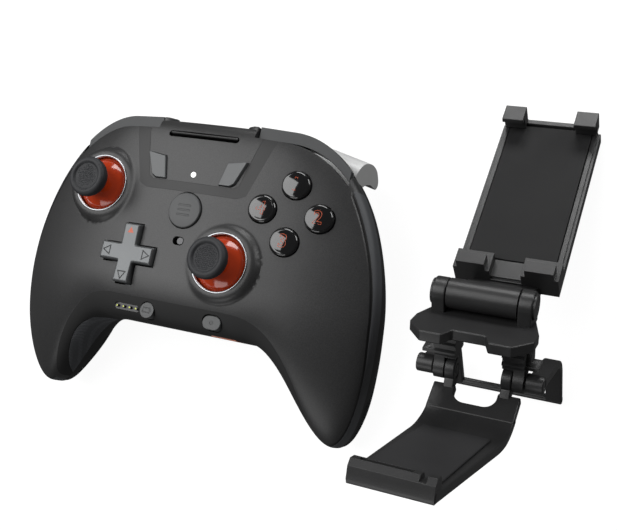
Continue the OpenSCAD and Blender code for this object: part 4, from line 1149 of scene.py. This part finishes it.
class CONTROLLER_OT_inner_pieces(bpy.types.Operator):
    """Finishes of the pieces inside the shells"""

    bl_idname = "controller.inner_pieces"
    bl_label = "Inner pieces"

    def execute(self, context):
        p = Paint("board_mask")
        x, y, _ = p.place()
        tracks = ((x * 2.1).wave() * (y * 1.7).wave()).step(0.55, 0.6)
        haze = p.noise(120.0, 3.0)
        tone = p.mix(tracks, (0.012, 0.075, 0.035), (0.03, 0.13, 0.06))
        board = p.surface(Base_Color=tone, Roughness=0.35 + (haze - 0.5) * 0.15,
                          Normal=p.bump(tracks, 0.00005, 0.4))
        finish_node(board, "lower_board", "upper_board")
        finish_node(satin("cell_wrap", (0.2, 0.22, 0.26), 0.3), "battery")
        finish_node(soft_rubber("keypad_rubber", (0.16, 0.165, 0.17)), "action_membrane", "dpad_membrane")
        frame_black = moulded("frame_black", (0.016, 0.016, 0.017), 0.5)
        finish_node(frame_black, "bumper_frame", "trigger_brackets")
        steel = bare_metal("turned_steel", (0.56, 0.57, 0.58), 0.26, 0.15)
        finish_node(steel, "trigger_pins", "screws", "motor_l", "motor_r")
        finish_node(bare_metal("weight_grey", (0.3, 0.3, 0.31), 0.4, 0.1), "weight_l", "weight_r")
        return {"FINISHED"}


def jaw_solids():
    """Six-sided plate with its notch, and the two knuckles of the barrel."""
    half = [(14.6, 7), (16.4, 4), (20, -8), (20, -14.5), (14.6, -21.5), (7.4, -21.5), (5.4, -16.5)]
    outline = half + [(-x, y) for x, y in reversed(half)]
    c, s = math.cos(math.radians(12)), math.sin(math.radians(12))
    points, faces = prism(outline, -9.4, -5.8)
    solids = [([(x, -(y * c + z * s), z * c - y * s) for x, y, z in points], faces)]
    for x0, x1 in ((11.9, 16.4), (-16.4, -11.9)):
        solids.append(rod(0, 0, 5, x0, x1))
        solids.append(bar([(-5, -8), (5, -8), (5, 0), (-5, 0)], x0, x1))
    return solids


def claw_axes():
    """Directions along the claw's plate and up from it."""
    along = (Vector(CLAW_LIP) - Vector(CLAW_HEEL)).normalized()
    return along, Vector((-along.y, along.x))


def claw_solids():
    """Knuckles, notched wall panel and the plate that bends from the wall to the lip."""
    f, u = KNUCKLE
    solids = []
    for x0, x1 in ((POST_IN, LUG_MID), (-LUG_MID, -POST_IN)):
        solids.append(sleeve(f, u, 4, PIN_BORE, x0, x1))
        solids.append(bar([(f - 3, u - 2), (f + 3.4, u - 2), (f + 6, u - 6), (f - 1, u - 6)], x0, x1))
    _, up = claw_axes()
    top = Vector((f + 4, u - 4.6))
    corner = Vector((21.65, -36.76))
    end = Vector(CLAW_LIP) + up * CLAW_T
    down = (corner - top).normalized()
    inner = bend(top + down * 6.4, corner, end, 7.5, 13.0)
    inner = inner[:-1] + [inner[-2].lerp(end, k / 12) for k in range(1, 13)]
    outer = beside(inner, CLAW_T)
    points = []
    for a, b in zip(inner, outer):
        half = CLAW_HALF - CLAW_TAPER * max(0.0, a.x - 24)
        points += [(-half, *a), (half, *a), (half, *b), (-half, *b)]
    faces = [(0, 1, 2, 3), tuple(range(len(points) - 1, len(points) - 5, -1))]
    for k in range(0, len(points) - 4, 4):
        faces += [(k + j, k + 4 + j, k + 4 + (j + 1) % 4, k + (j + 1) % 4) for j in range(4)]
    solids.append((points, faces))
    half = [(CLAW_HALF, 9.6), (CLAW_HALF, -0.6), (7.2, -0.6)] + quarter(3.2, 1.5, 4, 0, 8)
    outline = half + [(-x, t) for x, t in reversed(half)]
    out = Vector((-down.y, down.x))
    points, faces = prism(outline, -2.6, 0.45)
    solids.append(([(x, *(top + down * t + out * h)) for x, t, h in points], faces))
    return solids


def claw_bead():
    """Lip bar, and the groove and notch that are cut into it."""
    along, up = claw_axes()
    lip = Vector(CLAW_LIP)

    def at(a, b):
        return tuple(lip + along * a + up * b)

    outline = (-5, 0), (-5, 5), (-3.6, 6.8), (-0.6, 6.8), (0.8, 5), (0.8, 1.4), (0, 0)
    bead = bar([at(*p) for p in outline], -12, 12)
    groove = bar([at(-3.1, 5.7), at(-1.1, 5.7), at(-1.1, 9), at(-3.1, 9)], -9.6, 5.2)
    notch = bar([at(-8, 5.2), at(4, 5.2), at(4, 9), at(-8, 9)], 7.4, 9.4)
    return bead, [groove, notch]


def bail_solids(height):
    """Two bent straps with their knuckles, and the bar between their feet."""
    half = STRAP_T / 2
    foot = (-2.0, half - height)
    line = bend((0.8, -2.1), (11.0, -29.0), foot, 7.0, 7.0)
    outline = [tuple(p) for p in beside(line, half) + beside(line, -half)[::-1]]
    near = POST_OUT + 0.4
    far = near + STRAP_W
    solids = [rod(*foot, half, -far, far)]
    for x0 in (near, -far):
        solids.append(sleeve(0.0, 0.0, 3.2, PIN_BORE, x0, x0 + STRAP_W))
        solids.append(bar(outline, x0 + 0.1, x0 + STRAP_W - 0.1))
    return solids


class CONTROLLER_OT_phone_clip(bpy.types.Operator):
    """Jaw, posts, barrel, tray, claw and stand loop of the phone clip"""

    bl_idname = "controller.phone_clip"
    bl_label = "Phone clip"

    def execute(self, context):
        clip = context.scene.clip_settings
        edge = clip.edge / MM
        plastic = moulded("clip_black", tuple(clip.plastic_colour), 0.38, 0.5, 0.1)
        pad = soft_rubber("clip_pad_soft", tuple(clip.pad_colour), 0.66, 0.3)
        # The claw pad is the pad rubber painted 2.4 times lighter than the tray pad: a painted sheen standing
        # in for the pale floor reflected in it.
        claw_pad = soft_rubber("claw_pad_sheen", shade(clip.pad_colour, 2.4), 0.4)
        for node in ("clip_tray", "clip_carriage"):
            renew(node, plastic, edge)
        for node in ("clip_post_l", "clip_post_r", "clip_end_caps", "clip_pins"):
            renew(node, plastic, 0.0)
        renew("clip_arm", plastic, edge * 0.6)
        stand_for(round_edges(joined("clip_jaw_piece", jaw_solids(), leaned), edge), plastic, "clip_jaw")
        stand_for(round_edges(joined("clip_claw_piece", claw_solids(), leaned), edge), plastic, "clip_claw")
        bead, groove = claw_bead()
        lip = joined("clip_claw_lip", [bead], leaned)
        cut(lip, joined("tool", groove, leaned))
        add_to(round_edges(lip, 0.35), plastic, "clip_claw")
        px, py, pz = leaned(0.0, *KNUCKLE)
        loop = joined("clip_bail_piece", bail_solids(pz), lambda x, y, z: (px + x, py + y, pz + z))
        stand_for(round_edges(loop, edge), plastic, "clip_bail")
        renew("clip_pad", pad, 0.3)
        renew("clip_claw_pad", claw_pad, 0.3)
        finish_node(bare_metal("axle_steel", (0.5, 0.51, 0.52), 0.28, 0.1), "clip_axle")
        return {"FINISHED"}


class CONTROLLER_OT_stage(bpy.types.Operator):
    """Pale floor, soft lamps and the camera"""

    bl_idname = "controller.stage"
    bl_label = "Stage"

    def execute(self, context):
        scene = context.scene
        stage = scene.stage_settings
        scene.view_settings.view_transform = "Standard"
        signs = ((-1, -1), (1, -1), (1, 1), (-1, 1))
        corners = [(a * FLOOR_REACH, b * FLOOR_REACH, FLOOR_Z) for a, b in signs]
        floor = add_mesh("floor", corners, [(0, 1, 2, 3)], smooth=False)
        p = Paint("pale_floor")
        colour = tuple(stage.floor_colour)
        dust = p.noise(3.0, 2.0)
        matte = p.add("ShaderNodeBsdfDiffuse", None, {"Color": p.mix(dust, shade(colour, 0.99), colour)})[0]
        glow = p.add("ShaderNodeEmission", None, {"Color": (1.0, 1.0, 1.0), "Strength": FLOOR_GLOW})[0]
        dim = p.add("ShaderNodeBsdfDiffuse", None, {"Color": shade(colour, FLOOR_DIM)})[0]
        shown = p.add("ShaderNodeMixShader", None, {0: FLOOR_SHARE, 1: matte, 2: glow})[0]
        sheen = p.add("ShaderNodeEmission", None, {"Color": (1.0, 1.0, 1.0), "Strength": FLOOR_SHEEN})[0]
        mirrored = p.pick("ShaderNodeLightPath", "Is Glossy Ray")
        hidden = p.add("ShaderNodeMixShader", None, {0: mirrored, 1: dim, 2: sheen})[0]
        seen = p.pick("ShaderNodeLightPath", "Is Camera Ray")
        both = p.add("ShaderNodeMixShader", None, {0: seen, 1: hidden, 2: shown})[0]
        dress(floor, p.show(both))
        sky = Paint("soft_sky", sky=True)
        seen = sky.pick("ShaderNodeLightPath", "Is Camera Ray")
        level = sky.add("ShaderNodeMapRange", None, {"Value": seen, "To Min": stage.fill, "To Max": 1.0})[0]
        light = sky.add("ShaderNodeBackground", None, {"Color": (1.0, 1.0, 1.0), "Strength": level})[0]
        scene.world = sky.show(light)
        for name, place, aim, size, power in (
                ("key_lamp", (-0.47, 0.13, 0.91), (0.0, 0.0, 0.04), (0.8, 1.1), stage.key_power),
                ("rear_lamp", (0.04, 1.0, 0.4), (0.06, 0.03, 0.03), (0.6, 0.4), stage.key_power * 0.5),
                ("front_lamp", (-0.1, -0.95, 0.5), (0.02, -0.03, 0.03), (0.7, 0.5), stage.key_power * 0.24),
                ("side_lamp", (0.75, 0.6, 0.2), (0.06, 0.035, 0.03), (0.4, 0.3), stage.key_power * 0.25)):
            lamp = bpy.data.lights.new(name, "AREA")
            lamp.shape = "RECTANGLE"
            lamp.size, lamp.size_y = size
            lamp.energy = power
            holder = new_object(name, lamp)
            holder.location = place
            holder.rotation_euler = (Vector(aim) - Vector(place)).to_track_quat("-Z", "Y").to_euler()
        view = bpy.data.cameras.new("view")
        view.sensor_fit = "HORIZONTAL"
        view.sensor_width = 36.0
        view.lens = CAMERA_LENS
        view.clip_start = 0.02
        holder = new_object("view", view)
        turn = Matrix([CAMERA_RIGHT, CAMERA_UP, CAMERA_BACK]).transposed().to_4x4()
        holder.matrix_world = Matrix.Translation(CAMERA_PLACE) @ turn
        scene.camera = holder
        return {"FINISHED"}


class CONTROLLER_PT_sidebar(bpy.types.Panel):
    """Pieces and settings of the controller"""

    bl_idname = "CONTROLLER_PT_sidebar"
    bl_label = "Game controller"
    bl_space_type = "VIEW_3D"
    bl_region_type = "UI"
    bl_category = "Controller"

    def draw(self, context):
        layout = self.layout
        scene = context.scene
        for group in (scene.controller_settings, scene.clip_settings, scene.stage_settings):
            box = layout.box()
            for key in group.__annotations__:
                box.prop(group, key)
        for operator in OPERATORS:
            layout.operator(operator.bl_idname)


SETTINGS = (ControllerSettings, ClipSettings, StageSettings)
OPERATORS = (
    CONTROLLER_OT_stage, CONTROLLER_OT_front_shell, CONTROLLER_OT_rear_shell, CONTROLLER_OT_shoulders,
    CONTROLLER_OT_sticks, CONTROLLER_OT_direction_pad, CONTROLLER_OT_action_buttons, CONTROLLER_OT_keys,
    CONTROLLER_OT_inner_pieces, CONTROLLER_OT_phone_clip)
CLASSES = SETTINGS + OPERATORS + (CONTROLLER_PT_sidebar,)


def register():
    for cls in CLASSES:
        bpy.utils.register_class(cls)
    bpy.types.Scene.controller_settings = PointerProperty(type=ControllerSettings)
    bpy.types.Scene.clip_settings = PointerProperty(type=ClipSettings)
    bpy.types.Scene.stage_settings = PointerProperty(type=StageSettings)


def unregister():
    del bpy.types.Scene.stage_settings
    del bpy.types.Scene.clip_settings
    del bpy.types.Scene.controller_settings
    for cls in reversed(CLASSES):
        bpy.utils.unregister_class(cls)


def main():
    register()
    bpy.ops.controller.stage()
    bpy.ops.controller.front_shell()
    bpy.ops.controller.rear_shell()
    bpy.ops.controller.shoulders()
    bpy.ops.controller.sticks()
    bpy.ops.controller.direction_pad()
    bpy.ops.controller.action_buttons()
    bpy.ops.controller.keys()
    bpy.ops.controller.inner_pieces()
    bpy.ops.controller.phone_clip()
    bpy.context.view_layer.update()


if __name__ == "__main__":
    main()
